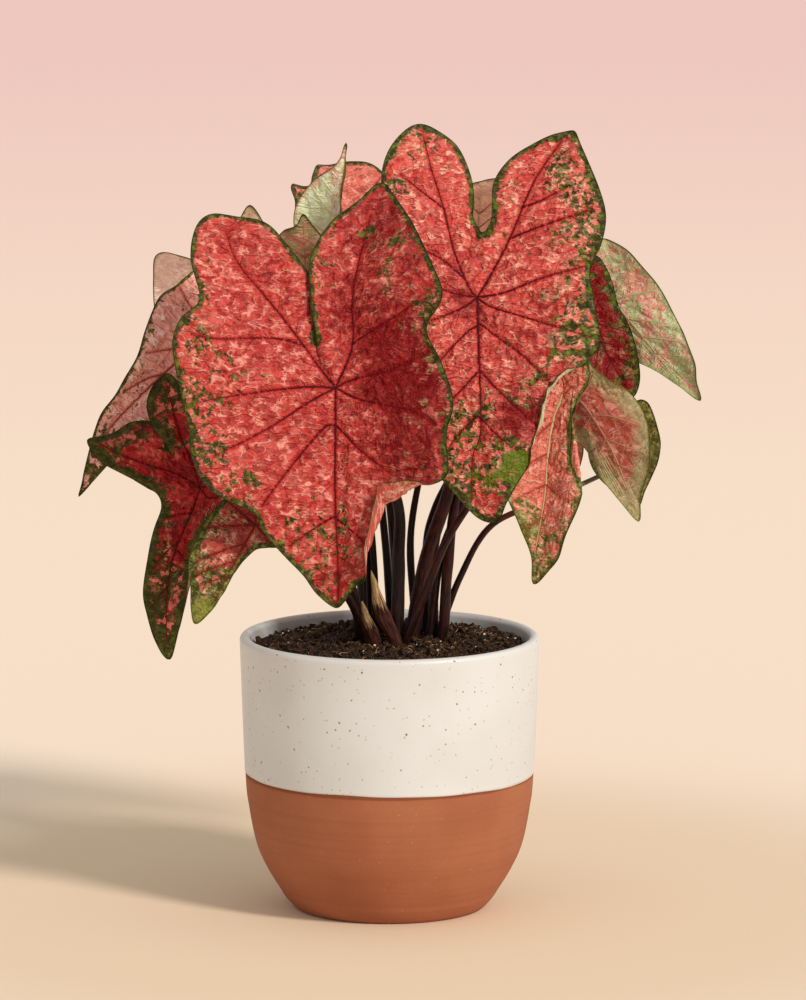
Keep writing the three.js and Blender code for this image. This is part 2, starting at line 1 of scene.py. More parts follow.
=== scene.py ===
"""A potted caladium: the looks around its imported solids, in metres, +Z up, the front facing -Y."""
import math

import bmesh
import bpy
import numpy as np
from mathutils import Euler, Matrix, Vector
from mathutils.bvhtree import BVHTree
from mathutils.geometry import barycentric_transform


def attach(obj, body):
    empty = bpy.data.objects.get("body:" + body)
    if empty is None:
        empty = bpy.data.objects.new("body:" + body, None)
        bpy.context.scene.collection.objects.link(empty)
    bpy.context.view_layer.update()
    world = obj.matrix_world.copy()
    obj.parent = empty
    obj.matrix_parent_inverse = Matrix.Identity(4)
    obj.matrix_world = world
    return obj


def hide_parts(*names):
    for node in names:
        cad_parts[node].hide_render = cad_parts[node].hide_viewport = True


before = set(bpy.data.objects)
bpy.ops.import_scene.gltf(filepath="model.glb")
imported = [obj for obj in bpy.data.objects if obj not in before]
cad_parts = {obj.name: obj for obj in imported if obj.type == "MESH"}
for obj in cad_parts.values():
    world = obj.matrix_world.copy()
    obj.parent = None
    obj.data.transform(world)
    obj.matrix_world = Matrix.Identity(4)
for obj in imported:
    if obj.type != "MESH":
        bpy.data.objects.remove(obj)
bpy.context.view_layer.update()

MM = 0.001

# The three kinds of leaf, each with its palette and its slot
RED = "red"
ROSE = "rose"
PALE = "pale"


def heart(tip, side, lobe, notch):
    """A plain heart: how far the tip, sides, lobes and notch reach from the stalk."""
    half = [
        [11, side + 0.6 * (tip - side)], [25, side + 0.3 * (tip - side)], [43, 1.06 * side],
        [66, side], [90, 0.97 * side], [115, side + 0.35 * (lobe - side)],
        [135, side + 0.9 * (lobe - side)], [149, lobe], [161, notch + 0.68 * (lobe - notch)],
        [171, notch + 0.25 * (lobe - notch)],
    ]
    mirrored = [[360 - bearing, reach] for bearing, reach in reversed(half)]
    return [[0, tip], *half, [180, notch], *mirrored]


# The leaf and stalk tables repeat the part's own, in millimetres and degrees. A leaf has the place
# where its stalk meets it; the tip's heading, climb and roll; fold and cup to the right and to the
# left; droop towards the tip and away from it; its wave's height, count and phase; how far its back
# lobes lap over each other; and its outline as [bearing, reach] pairs. A curl rolls up what lies
# past a line of such pairs.
LEAVES = {
    "leaf_front_left": {
        "at": [-29, -70, 300], "aim": [0, -66, 0], "fold": [14, 16], "cup": [5, 8],
        "droop": [14, 8], "wave": [3, 7, 0], "lap": 4, "colour": RED,
        "curl": {
            "radius": 6,
            "starts": [
                [307, 81], [312, 76], [318, 70], [324, 68], [331, 67], [336, 66], [341, 74],
                [344, 80], [348, 89], [353, 108],
            ],
        },
        "outline": [
            [0, 120], [5, 113], [9, 105], [16, 97], [27, 89], [32, 84], [40, 86], [52, 91],
            [63, 89], [72, 85], [84, 86], [99, 93], [109, 93], [120, 88], [129, 105], [138, 116],
            [144, 117], [150, 108], [157, 98], [161, 83], [167, 66], [171, 55], [167, 44],
            [160, 33], [157, 27], [160, 38], [163, 54], [169, 75], [179, 98], [187, 111],
            [192, 121], [197, 113], [207, 99], [221, 85], [233, 76], [240, 59], [260, 60],
            [280, 67], [295, 70], [307, 81], [314, 84], [322, 88], [331, 91], [337, 91], [343, 100],
            [348, 107], [353, 108], [357, 116],
        ],
    },
    "leaf_front_right": {
        "at": [48, -28, 344], "aim": [4, -66, 0], "fold": [10, 8], "cup": [4, -6], "droop": [12, 6],
        "wave": [2.5, 6, 40], "colour": RED,
        "curl": {
            "radius": 2.2,
            "starts": [
                [300, 71], [306, 67], [312, 64], [318, 63], [325, 64], [331, 70], [337, 80],
                [342, 88], [346, 99],
            ],
        },
        "outline": [
            [-4, 124], [1, 122], [8, 109], [15, 98], [22, 80], [31, 61], [50, 46], [75, 40],
            [100, 42], [120, 50], [133, 66], [142, 84], [151, 96], [161, 103], [168, 98], [175, 88],
            [180, 68], [179, 50], [182, 41], [187, 37], [191, 44], [190, 66], [194, 81], [201, 95],
            [207, 106], [211, 110], [216, 103], [229, 91], [239, 84], [248, 74], [257, 64],
            [274, 64], [293, 72], [302, 70], [312, 71], [322, 70], [329, 75], [336, 86], [342, 94],
            [348, 103], [353, 114],
        ],
    },
    "leaf_left": {
        "at": [-99, 6, 322], "aim": [-53, -48, -62], "fold": [10, 10], "cup": [6, 6],
        "droop": [22, 10], "wave": [2.5, 5, 0], "colour": ROSE,
        "outline": [
            [2.5, 118], [5, 109], [8.5, 98], [13, 86], [18, 74], [23, 60], [33, 46], [50, 38],
            [71, 34], [88, 33], [104, 31], [117, 32], [128, 33], [140, 31], [154, 24], [176, 15],
            [196, 25], [216, 28], [242, 31], [272, 32], [304, 37], [328, 44], [344, 51], [354, 62],
            [360, 76], [362, 90], [362.5, 104],
        ],
    },
    "leaf_low_left": {
        "at": [-103, -45, 241], "aim": [-31, -68, 0], "fold": [22, 22], "cup": [10, 10],
        "droop": [10, 10], "wave": [2, 5, 0], "lap": 3, "colour": RED,
        "outline": [
            [2, 95], [8, 87], [14, 75], [20, 64], [28, 47], [40, 34], [58, 24], [80, 27], [90, 42],
            [95, 58], [102, 69], [107, 63], [113, 58], [123, 55], [131, 50], [136, 41], [133, 30],
            [130, 41], [134, 54], [140, 62], [146, 67], [151, 69], [156, 61], [161, 49], [178, 38],
            [198, 32], [230, 32], [262, 33], [290, 31], [320, 24], [345, 27], [353, 38], [356, 52],
            [357, 64], [359, 78],
        ],
    },
    "leaf_low_front": {
        "at": [-72, -83, 227], "aim": [-48, -50, -20], "fold": [14, 14], "cup": [8, 8],
        "droop": [14, 8], "wave": [1.5, 4, 0], "colour": ROSE,
        "outline": [
            [3, 64], [9, 59], [18, 50], [34, 42], [52, 33], [72, 28], [98, 24], [125, 25],
            [148, 26], [166, 20], [184, 12], [203, 18], [226, 24], [252, 26], [278, 24], [304, 19],
            [330, 17], [347, 23], [355, 31], [357, 40], [359, 52],
        ],
    },
    "leaf_low_right": {
        "at": [95, -18, 289], "aim": [-24, -66, 0], "fold": [40, 20], "cup": [4, 4],
        "droop": [12, 8], "wave": [1.5, 5, 0], "colour": ROSE,
        "outline": [
            [2, 106], [4, 91], [10, 78], [19, 68], [27, 60], [38, 48], [55, 32], [85, 20],
            [115, 18], [142, 22], [162, 24], [178, 16], [196, 23], [218, 23], [248, 16], [285, 11],
            [321, 13], [337, 25], [342, 39], [339, 51], [338, 61], [345, 74], [351, 87], [356, 97],
        ],
    },
    "leaf_right": {
        "at": [104, 2, 284], "aim": [73, -63, -78], "fold": [14, 4], "cup": [8, 0],
        "droop": [14, 8], "wave": [2, 5, 0], "colour": PALE,
        "outline": [
            [3, 76], [8, 66], [15, 60], [26, 54], [39, 46], [54, 38], [73, 29], [92, 22], [110, 20],
            [137, 22], [152, 29], [164, 34], [180, 29], [196, 22], [216, 14], [243, 17], [266, 24],
            [286, 29], [305, 28], [323, 25], [336, 28], [346, 37], [354, 49], [359, 62],
        ],
    },
    "leaf_top_right": {
        "at": [124, 52, 332], "aim": [76, -48, -76], "fold": [12, 4], "cup": [8, 0],
        "droop": [16, 8], "wave": [2, 5, 0], "colour": PALE,
        "outline": [
            [3, 75], [9, 66], [16, 58], [25, 47], [38, 36], [60, 29], [90, 27], [118, 30],
            [137, 33], [150, 35], [166, 33], [185, 27], [208, 20], [236, 16], [263, 24], [281, 33],
            [295, 39], [309, 41], [324, 38], [341, 38], [353, 47], [359, 61],
        ],
    },
    "leaf_behind_right": {
        "at": [104, 30, 334], "aim": [76, -58, 55], "fold": [10, 10], "cup": [5, 5],
        "droop": [16, 8], "wave": [1.5, 4, 0], "colour": RED,
        "outline": [
            [-1, 62], [8, 59], [20, 53], [34, 47], [50, 40], [70, 32], [96, 27], [124, 24],
            [150, 25], [174, 26], [191, 22], [208, 14], [220, 22], [232, 28], [250, 26], [275, 23],
            [308, 24], [328, 34], [342, 46], [351, 57],
        ],
    },
    "leaf_small_right": {
        "at": [129, 38, 247], "aim": [55, -62, 40], "fold": [10, 10], "cup": [8, 8],
        "droop": [10, 8], "wave": [1, 4, 0], "colour": RED,
        "outline": [
            [6, 31], [26, 23], [56, 20], [88, 19], [120, 20], [150, 23], [172, 27], [185, 28],
            [195, 23], [204, 15], [211, 24], [219, 32], [227, 34], [237, 31], [254, 26], [276, 23],
            [300, 21], [326, 21], [348, 24],
        ],
    },
    "leaf_top_left": {
        "at": [-35, 50, 370], "aim": [43, 72, -43], "fold": [10, 10], "cup": [8, 8],
        "droop": [0, 8], "wave": [1, 5, 0], "colour": PALE,
        "outline": [
            [0, 54], [2, 46], [7, 39], [26, 31], [54, 24], [80, 20], [116, 18], [150, 22],
            [168, 27], [181, 17], [200, 27], [218, 20], [258, 13], [325, 13], [350, 21], [355, 31],
            [358, 44],
        ],
    },
    "leaf_back_top": {
        "at": [-25, 88, 366], "aim": [37, -55, 0], "fold": [8, 8], "cup": [6, 6], "droop": [10, 8],
        "wave": [2, 5, 0], "colour": RED,
        "outline": [
            [-2, 43], [21, 40], [48, 37], [74, 37], [99, 36], [122, 36], [136, 40], [148, 39],
            [157, 33], [166, 37], [180, 44], [195, 46], [207, 48], [219, 50], [232, 50], [247, 46],
            [266, 40], [295, 35], [322, 34], [342, 38],
        ],
    },
    "leaf_inner_left": {
        "at": [-46, 20, 342], "aim": [-11, 79, 11], "fold": [12, 12], "cup": [10, 10],
        "droop": [0, 8], "wave": [1, 5, 0], "colour": ROSE,
        "outline": [
            [0, 44], [6, 38], [18, 36], [31, 32], [51, 26], [85, 22], [120, 20], [145, 17],
            [168, 11], [190, 13], [212, 17], [242, 18], [276, 19], [311, 22], [338, 30], [353, 38],
        ],
    },
    "leaf_upper_left": {
        "at": [-76, 36, 341], "aim": [-8, 80, 8], "fold": [12, 12], "cup": [10, 10],
        "droop": [0, 8], "wave": [1, 5, 0], "colour": ROSE, "outline": heart(48, 24, 21, 11),
    },
    "leaf_inner_right": {
        "at": [48, 38, 355], "aim": [20, 80, -20], "fold": [12, 12], "cup": [10, 10],
        "droop": [0, 8], "wave": [1, 5, 0], "colour": ROSE,
        "outline": [
            [0, 47], [15, 44], [30, 37], [55, 29], [88, 25], [122, 23], [152, 20], [180, 12],
            [208, 20], [238, 23], [272, 25], [305, 30], [330, 41], [345, 49],
        ],
    },
    "leaf_back_left": {
        "at": [-88, 78, 310], "aim": [-170, -60, 0], "fold": [10, 10], "cup": [6, 6],
        "droop": [14, 10], "wave": [2, 5, 0], "colour": ROSE,
        "outline": [
            [0, 76], [12, 62], [28, 50], [50, 43], [75, 41], [100, 42], [125, 46], [145, 46],
            [160, 38], [172, 29], [181, 25], [191, 35], [201, 49], [209, 60], [216, 68], [224, 68],
            [236, 57], [256, 46], [282, 40], [308, 41], [332, 49], [348, 62],
        ],
    },
    "leaf_back": {
        "at": [13, 109, 288], "aim": [178, -56, 0], "fold": [10, 10], "cup": [6, 6],
        "droop": [14, 10], "wave": [2.5, 5, 60], "colour": RED, "outline": heart(80, 52, 64, 26),
    },
    "leaf_back_right": {
        "at": [64, 68, 268], "aim": [134, -60, 0], "fold": [10, 10], "cup": [6, 6],
        "droop": [14, 10], "wave": [2.5, 6, 120], "colour": RED, "outline": heart(80, 50, 62, 26),
    },
}

# Each stalk's foot on the soil, the places it passes, how far below its blade it turns in, and its
# radius at the foot and at the blade.
STALKS = {
    "leaf_front_left": {
        "foot": [4, -18], "via": [[5, -16, 197], [4, -14, 230]], "turn": 26, "radius": [4.4, 2],
    },
    "leaf_front_right": {
        "foot": [12, -14], "via": [[21, -8, 198], [33, -6, 235], [42, 0, 283]], "turn": 26,
        "radius": [4.8, 2.2],
    },
    "leaf_left": {
        "foot": [-14, -6], "via": [[-19, -2, 206], [-55, 10, 271]], "turn": 22,
        "radius": [3.2, 1.5],
    },
    "leaf_low_left": {
        "foot": [-16, -14], "via": [[-21, -20, 183], [-49, -36, 228]], "turn": 18,
        "radius": [3, 1.5],
    },
    "leaf_low_front": {
        "foot": [-13, -21], "via": [[-22, -36, 178], [-43, -54, 211]], "turn": 14,
        "radius": [2.6, 1.3],
    },
    "leaf_low_right": {
        "foot": [9, -22], "via": [[20, -24, 180], [33, -26, 212], [61, -14, 247]], "turn": 16,
        "radius": [2.6, 1.3],
    },
    "leaf_right": {
        "foot": [22, -2], "via": [[31, 0, 205], [61, 4, 255]], "turn": 16, "radius": [2.8, 1.4],
    },
    "leaf_top_right": {
        "foot": [24, 6], "via": [[28, 10, 214], [76, 19, 288]], "turn": 16, "radius": [2.8, 1.4],
    },
    "leaf_behind_right": {
        "foot": [29, -6], "via": [[32, -4, 189], [40, 0, 239], [78, 12, 298]], "turn": 16,
        "radius": [3.4, 1.6],
    },
    "leaf_small_right": {
        "foot": [27, 2], "via": [[39, 6, 183], [56, 12, 211], [86, 20, 224]], "turn": 14,
        "radius": [2.2, 1.2],
    },
    "leaf_top_left": {
        "foot": [1, 12], "via": [[-3, 14, 209], [-12, 20, 280]], "turn": 18, "radius": [2.6, 1.3],
    },
    "leaf_back_top": {
        "foot": [5, 18], "via": [[0, 28, 223], [-10, 42, 296], [-22, 70, 326]], "turn": 10,
        "radius": [2.8, 1.4],
    },
    "leaf_inner_left": {
        "foot": [-7, 6], "via": [[-11, 4, 216], [-27, 4, 283]], "turn": 16, "radius": [2.4, 1.2],
    },
    "leaf_upper_left": {
        "foot": [-12, 4], "via": [[-16, 10, 227], [-44, 26, 293]], "turn": 16, "radius": [2.4, 1.2],
    },
    "leaf_inner_right": {
        "foot": [14, 4], "via": [[12, 8, 210], [28, 16, 281]], "turn": 18, "radius": [2.4, 1.2],
    },
    "leaf_back_left": {
        "foot": [-10, 14], "via": [[-14, 28, 206], [-38, 46, 258]], "turn": 18,
        "radius": [2.8, 1.4],
    },
    "leaf_back": {
        "foot": [4, 22], "via": [[3, 44, 209], [4, 70, 245]], "turn": 18, "radius": [2.8, 1.4],
    },
    "leaf_back_right": {
        "foot": [20, 14], "via": [[22, 30, 208], [38, 44, 240]], "turn": 18, "radius": [2.8, 1.4],
    },
}

# Dry sheaths left standing at the crown
SHEATHS = [
    {"foot": [4, -24], "via": [[-4, -24, 168]], "end": [-10, -23, 192], "radius": [3, 1]},
    {"foot": [-8, -22], "via": [[-12, -26, 164]], "end": [-15, -29, 176], "radius": [2.6, 1]},
]


# Main veins given one by one, as [bearing, reach] in the flat leaf. Other leaves get theirs
# by the rule in plain_veins.
VEINS = {
    "leaf_front_left": [
        [[0, 0], [0, 30], [0, 62], [-1, 99], [-1, 116]],
        [[0, 0], [142, 16], [142, 50], [141, 86], [144, 104]],
        [[142, 29], [132, 38], [121, 49], [108, 71], [106, 84]],
        [[0, 0], [-156, 17], [-160, 29], [-170, 56], [-169, 101]],
        [[-159, 26], [-145, 39], [-138, 50], [-134, 64]],
        [[0, 0], [90, 14], [84, 39], [81, 74], [80, 82]], [[0, 0], [60, 16], [57, 46], [59, 78]],
        [[2, 21], [17, 24], [30, 56], [32, 77]], [[-2, 21], [-11, 26], [-22, 38], [-32, 56]],
        [[0, 0], [-63, 16], [-70, 44], [-67, 62]], [[0, 0], [-114, 10], [-105, 34], [-108, 56]],
        [[-1, 70], [5, 74], [16, 90]], [[-1, 72], [-6, 78], [-12, 88]],
    ],
    "leaf_front_right": [
        [[0, 0], [0, 36], [0, 74], [3, 89], [3, 112]],
        [[0, 0], [141, 7], [155, 29], [161, 53], [162, 76], [163, 96]],
        [[161, 53], [156, 61], [149, 80]],
        [[0, 0], [-147, 10], [-150, 38], [-153, 72], [-151, 103]],
        [[-150, 38], [-143, 45], [-132, 63], [-126, 80]], [[-153, 57], [-146, 65], [-140, 79]],
        [[0, 0], [-98, 15], [-105, 38], [-105, 62]], [[0, 0], [-52, 9], [-65, 31], [-68, 66]],
        [[1, 14], [-22, 23], [-36, 43], [-38, 66]], [[0, 0], [98, 12], [104, 37]],
        [[146, 14], [136, 31], [127, 48]], [[0, 0], [55, 12], [63, 38]],
        [[2, 16], [22, 24], [33, 50]], [[0, 41], [12, 54], [21, 72]],
        [[0, 41], [-12, 55], [-23, 78]], [[1, 66], [9, 77], [13, 90]],
        [[1, 66], [-7, 78], [-14, 90]],
    ],
    "leaf_left": [
        [[0, 0], [8, 15], [11, 53], [9, 84], [2, 112]], [[0, 0], [101, 15], [108, 43]],
        [[0, 0], [-130, 12], [-142, 26]], [[0, 0], [-100, 14], [-95, 29]],
        [[8, 15], [24, 22], [34, 39]], [[8, 24], [-14, 32], [-28, 42]],
        [[10, 36], [17, 46], [19, 60]], [[11, 44], [-2, 52], [-9, 60]],
    ],
    "leaf_low_left": [
        [[0, 0], [10, 13], [12, 40], [8, 62], [3, 92]], [[0, 0], [112, 16], [103, 40], [103, 62]],
        [[0, 0], [150, 14], [147, 36], [149, 62]], [[0, 0], [176, 12], [166, 30], [160, 50]],
        [[0, 0], [-62, 11], [-88, 29]], [[0, 0], [-120, 12], [-140, 29]],
        [[9, 14], [36, 21], [44, 29]], [[12, 31], [19, 40], [22, 56]],
        [[11, 36], [-2, 42], [-8, 36]], [[9, 56], [13, 66], [14, 72]],
    ],
    "leaf_low_right": [
        [[0, 0], [11, 16], [5, 36], [2, 60], [3, 102]], [[11, 16], [-8, 22], [-32, 16]],
        [[6, 36], [-6, 44], [-22, 40]], [[2, 51], [-8, 58], [-16, 62]],
        [[11, 16], [24, 28], [30, 50]], [[6, 34], [18, 43], [25, 58]],
        [[2, 51], [11, 57], [18, 66]], [[2, 69], [7, 76], [10, 76]],
    ],
    "leaf_right": [
        [[0, 0], [14, 12], [9, 34], [5, 57], [4, 72]], [[14, 12], [39, 22], [43, 40]],
        [[10, 27], [21, 37], [28, 49]], [[7, 43], [13, 50], [17, 56]],
        [[14, 12], [-14, 16], [-38, 22]], [[10, 27], [-6, 33], [-18, 32]],
        [[0, 0], [112, 10], [120, 18]], [[0, 0], [-79, 10], [-80, 24]],
        [[0, 0], [160, 12], [165, 28]],
    ],
}

# Each leaf's look. margin is the width of its green edge in millimetres. specks is how thickly
# green specks lie over it all, and patches adds to that round a [bearing, reach, radius, strength].
# reds are patches of deeper red; a patch of negative strength is painted light instead. tone (how
# bright its red is, partly its own red and partly painted light and shade across the blade) and
# blush (how pink its underside is) are given at the stalk, then by their growth per millimetre
# towards a bearing. halo_and_shade is how far the dark sides of its veins reach, and spots how
# strongly pale islands show where it is green. sage is the width of the underside's unblushed
# margin, and show how far the green shows through to it.
LOOKS = {
    "leaf_front_left": {
        "margin": 2.8, "specks": 0.02, "tone": [0.74, 0.0036, 90], "blush": [0.8, 0, 0],
        "reds": [
            [263, 40, 20, 0.6], [225, 40, 16, 0.4], [305, 48, 15, 0.3], [189, 44, 10, 0.3],
            # Painted light: this patch of negative strength brightens the drooping tip against its
            # shade.
            [0, 64, 26, -0.25],
        ],
        "patches": [
            [84, 62, 16, 0.5], [105, 80, 12, 0.8], [82, 82, 11, 0.85], [61, 78, 12, 0.8],
            [45, 74, 11, 0.6], [14, 80, 16, 0.5], [354, 74, 15, 0.5], [2, 98, 14, 0.5],
            [-72, 50, 13, 0.35], [-101, 54, 12, 0.5], [-150, 62, 10, 0.45], [203, 84, 12, 0.5],
            [-168, 88, 9, 0.4], [174, 66, 8, 0.5], [-45, 66, 12, 0.35], [-128, 64, 9, 0.5],
            [233, 66, 9, 0.5],
        ],
        "palette": {"under": (226, 168, 140), "blush": (196, 76, 64), "cream_highlight": (214, 142, 112)},
    },
    "leaf_front_right": {
        "margin": 3.6, "specks": 0.04, "tone": [0.98, 0.0026, 140], "blush": [0.2, 0, 0],
        "reds": [
            [145, 30, 12, 0.45], [98, 12, 10, 0.4], [0, 10, 10, 0.4], [344, 72, 13, 0.6],
            [225, 50, 12, 0.4], [273, 36, 12, 0.3],
        ],
        "patches": [
            [229, 80, 14, 0.6], [236, 60, 13, 0.5], [-148, 88, 12, 0.45], [-104, 54, 14, 0.5],
            [273, 60, 11, 0.5], [-72, 58, 16, 0.5], [305, 58, 14, 0.6], [332, 56, 13, 0.5],
            [0, 62, 14, 0.45], [9, 80, 15, 0.6], [8, 100, 14, 0.6], [26, 60, 12, 0.5],
            [162, 88, 12, 0.4], [146, 72, 9, 0.45], [60, 34, 9, 0.35], [348, 96, 12, 2.2],
            [358, 102, 8, 1.0], [8, 112, 9, 0.9], [240, 70, 10, 0.6], [221, 86, 10, 0.5],
            [292, 62, 9, 0.45], [240, 84, 8, 0.4],
        ],
        "palette": {
            "under": (226, 208, 172), "blush": (214, 160, 136), "pale": (240, 218, 190),
            "bright": (208, 72, 62), "pale_and_highlight": (244, 176, 152), "cream_highlight": (232, 176, 138),
            "lime": (92, 112, 12),
        },
    },
    "leaf_left": {
        # Painted light: its tone and palette are lighter than its own red, to make up for the shadow
        # leaf_front_left casts on it.
        "margin": 1.4, "specks": 0.10, "tone": [0.9, 0.003, 90],
        "patches": [[6, 98, 12, 0.9], [15, 79, 9, 0.4], [52, 34, 10, 0.4]],
        "palette": {
            "deep": (214, 112, 96), "bright": (250, 172, 156), "pale_and_highlight": (255, 224, 208),
            "halo_and_shade": (150, 62, 48), "cream_highlight": (248, 216, 186), "vein": (140, 56, 44),
        },
    },
    "leaf_low_left": {
        "margin": 5.5, "specks": 0.12, "tone": [0.50, 0.004, 100], "spots": 0.75,
        "patches": [
            [10, 50, 18, 0.5], [5, 84, 24, 0.9], [160, 52, 16, 0.9], [100, 58, 15, 0.7],
            [-90, 30, 12, 0.5],
        ],
        "palette": {
            "green": (52, 54, 7), "lime": (82, 86, 16), "cream_highlight": (196, 110, 90),
            "pale_and_highlight": (236, 130, 110), "bright": (200, 40, 36),
        },
    },
    "leaf_low_front": {
        "margin": 4.0, "specks": 0.30, "tone": [0.62, 0.004, -90],
        "patches": [[8, 40, 16, 0.4], [4, 60, 18, 1.0], [60, 30, 12, 0.4]],
        "palette": {"bright": (200, 88, 72), "deep": (140, 42, 32), "lime": (128, 130, 46)},
    },
    "leaf_low_right": {
        "margin": 2.2, "specks": 0.10, "tone": [1.15, 0.002, 90],
        "patches": [[20, 60, 12, 0.5], [8, 80, 13, 0.8], [1, 97, 14, 1.0], [-16, 70, 10, 0.4]],
        "palette": {
            "green": (96, 92, 26), "lime": (164, 164, 96), "bright": (224, 118, 98),
            "pale_and_highlight": (246, 182, 158), "vein": (152, 62, 48), "halo_and_shade": (172, 76, 58),
            "midrib": (188, 184, 130),
        },
    },
    "leaf_right": {
        "margin": 2, "specks": 0.1, "sage": 13, "blush": [0.80, 0.004, 90], "patches": [],
        "palette": {
            "blush": (180, 78, 66), "under": (164, 156, 110), "pale": (230, 178, 156),
            "rib": (168, 112, 86),
        },
    },
    "leaf_top_right": {
        "margin": 2, "specks": 0.1, "sage": 3, "blush": [0.44, 0.004, 90], "show": 0.6,
        "patches": [[0, 54, 14, 0.8], [-30, 34, 9, 0.4]],
        "palette": {
            "under": (186, 196, 142), "blush": (228, 152, 134), "pale": (240, 224, 196),
            "rib": (190, 160, 120), "lime": (160, 172, 110),
        },
    },
    "leaf_behind_right": {
        "margin": 4.0, "specks": 0.26, "tone": [0.16, 0.004, 90], "patches": [[0, 30, 14, 0.3]],
        "palette": {"cream_highlight": (190, 120, 96)},
    },
    "leaf_small_right": {
        "margin": 9, "specks": 0.7, "tone": [0.4, 0.002, 90], "patches": [[0, 20, 20, 0.6]],
        "palette": {"green": (74, 72, 18), "lime": (136, 130, 56)},
    },
    "leaf_top_left": {
        "margin": 1.2, "specks": 0.0, "sage": 2, "blush": [0.30, 0.030, -90], "show": 0.7,
        "patches": [[0, 24, 12, 0.6], [8, 40, 10, 0.4]],
        # Painted light: its underside colours are painted near white for light shining through the
        # thin blade and against its shade.
        "palette": {
            "under": (232, 246, 194), "blush": (254, 244, 226), "pale": (255, 252, 242),
            "rib": (220, 216, 174), "lime": (226, 160, 140),
        },
    },
    "leaf_back_top": {
        "margin": 3.0, "specks": 0.12, "tone": [1.0, 0.003, -120], "patches": [[136, 36, 12, 0.9]],
        "palette": {"bright": (222, 110, 92)},
    },
    "leaf_inner_left": {
        "margin": 1.6, "specks": 0.1, "blush": [0.4, 0, 0], "sage": 4,
        "patches": [[-100, 20, 10, 0.6]],
        "palette": {"under": (140, 136, 88), "blush": (196, 126, 106)},
    },
    "leaf_upper_left": {
        "margin": 1.4, "specks": 0.05, "blush": [0.4, 0, 0], "sage": 4, "patches": [],
        "palette": {"under": (196, 184, 144), "blush": (232, 160, 138)},
    },
    "leaf_inner_right": {
        "margin": 1.4, "specks": 0.05, "blush": [0.9, 0, 0], "sage": 2,
        "patches": [[180, 10, 8, 0.8]],
        "palette": {"blush": (254, 198, 174), "under": (240, 204, 170), "pale": (254, 226, 204)},
    },
    "leaf_back_left": {
        "margin": 2.4, "specks": 0.1, "tone": [0.5, 0.006, 60], "blush": [1.2, 0, 0], "sage": 2,
        "show": 0.05, "patches": [[40, 44, 14, 0.5], [-70, 42, 14, 0.3], [0, 62, 14, 0.5]],
        # Painted light: its underside colours are painted near white to make up for the shade its
        # far lobe lies in.
        "palette": {
            "blush": (255, 220, 208), "under": (230, 218, 180), "pale": (255, 236, 226),
            "rib": (224, 168, 148),
        },
    },
    "leaf_back": {
        "margin": 3.6, "specks": 0.14, "tone": [0.6, 0.005, -60], "blush": [0.5, 0, 0],
        "patches": [[-40, 44, 14, 0.4], [80, 42, 14, 0.4], [5, 64, 14, 0.5], [-150, 48, 12, 0.4]],
    },
    "leaf_back_right": {
        "margin": 3.2, "specks": 0.14, "tone": [0.45, 0.006, 30], "blush": [0.5, 0, 0],
        "patches": [[30, 48, 14, 0.5], [-90, 42, 14, 0.4], [0, 62, 12, 0.4], [140, 50, 12, 0.4]],
    },
}

# Driving dimensions that the part's source has too
POT_HEIGHT = 152.5
WALL = 5.6
FLOOR = 9
CORNER = 12
GLAZE = 0.9
GLAZE_LINE = 76
POT_SIDE = [
    [52, 0], [54.4, 1.6], [59.6, 8], [68.2, 22], [74.2, 36], [78.2, 56], [80.2, 76], [82.9, 150],
]
SOIL_EDGE = 145
SOIL_MOUND = 6
SOIL_BUMP = 1.1
TUBER = {"centre": [6, 0, 118], "radius": [31, 31, 19]}
ROOT_SHARE = 0.7
STALK_FOOT = 124
SOIL_TOP = 151
STALK_SAG = 0.25
RIB_SOFTNESS = 6
DISC_SHARE = 0.6
LAP_WIDTH = 2.5
# Between which bearings a leaf's notch is looked for
NOTCH_BEARINGS = (125, 235)

# Driving dimensions of the finer pieces: a blade's thickness, the grids of the leaves in front of
# FRONT_DEPTH and of the others, the heights and widths of a blade's relief, and its crossed waves
# as their number, shortest and longest length
BLADE = 0.55
FRONT_GRID = 1.35
FRONT_DEPTH = -20
LEAF_GRID = 1.7
PUFF = 0.9
PUFF_WIDTH = 4.5
TWIG_PUFF = 0.45
TWIG_PUFF_WIDTH = 2.4
CRINKLE = 0.7
CREASE_WAVES = (30, 7, 13)
CREASE_BEND = 2.2
CREASE_BEND_WAVES = (20, 8, 16)
RUFFLE = 0.7

# Main veins and twigs: the distance between their points, the sides of their ribs, half their
# widths, how far they stand out (a least height and a share of the width), and how far from the
# margin they end
VEIN_STEP = 2.0
VEIN_SIDES = 8
MIDRIB_WIDTH = 0.5
STALK_VEIN_WIDTH = 0.32
BRANCH_WIDTH = 0.2
VEIN_END_WIDTH = 0.26
TWIG_WIDTHS = [0.24, 0.1]
RIB_ABOVE = (0.07, 0.10)
RIB_BELOW = (0.08, 0.42)
TWIG_SPACING = 11
VEIN_MARGIN = 1.6
TWIG_MARGIN = 3.0

# Steps round the pot and the soil, and rows and sides of what grows in it
POT_TURN = 180
STALK_GRID = (56, 14)
SHEATH_GRID = (26, 18)
TUBER_GRID = (24, 48)
# The soil's finer lumps as their seed, number, shortest and longest length
CRUMB_WAVES = (5, 40, 3.5, 9)
LUMP_WAVES = (6, 16, 12, 24)
# What lies on the soil: bits of BIT_SHAPES shapes, coarser ones up to SMALL_BIT across, and fibres
BIT_SHAPES = 12
SMALL_BIT = 1.5
CRUMBS = {"count": 2400, "low": 0.5, "high": 6.4, "seed": 11}
PERLITE = {"count": 110, "low": 0.6, "high": 2.2, "seed": 12, "lift": 1.5}
FIBRES = 300
FIBRE_SEED = 13
FIBRE_STEPS = 8
FIBRE_SIDES = 5

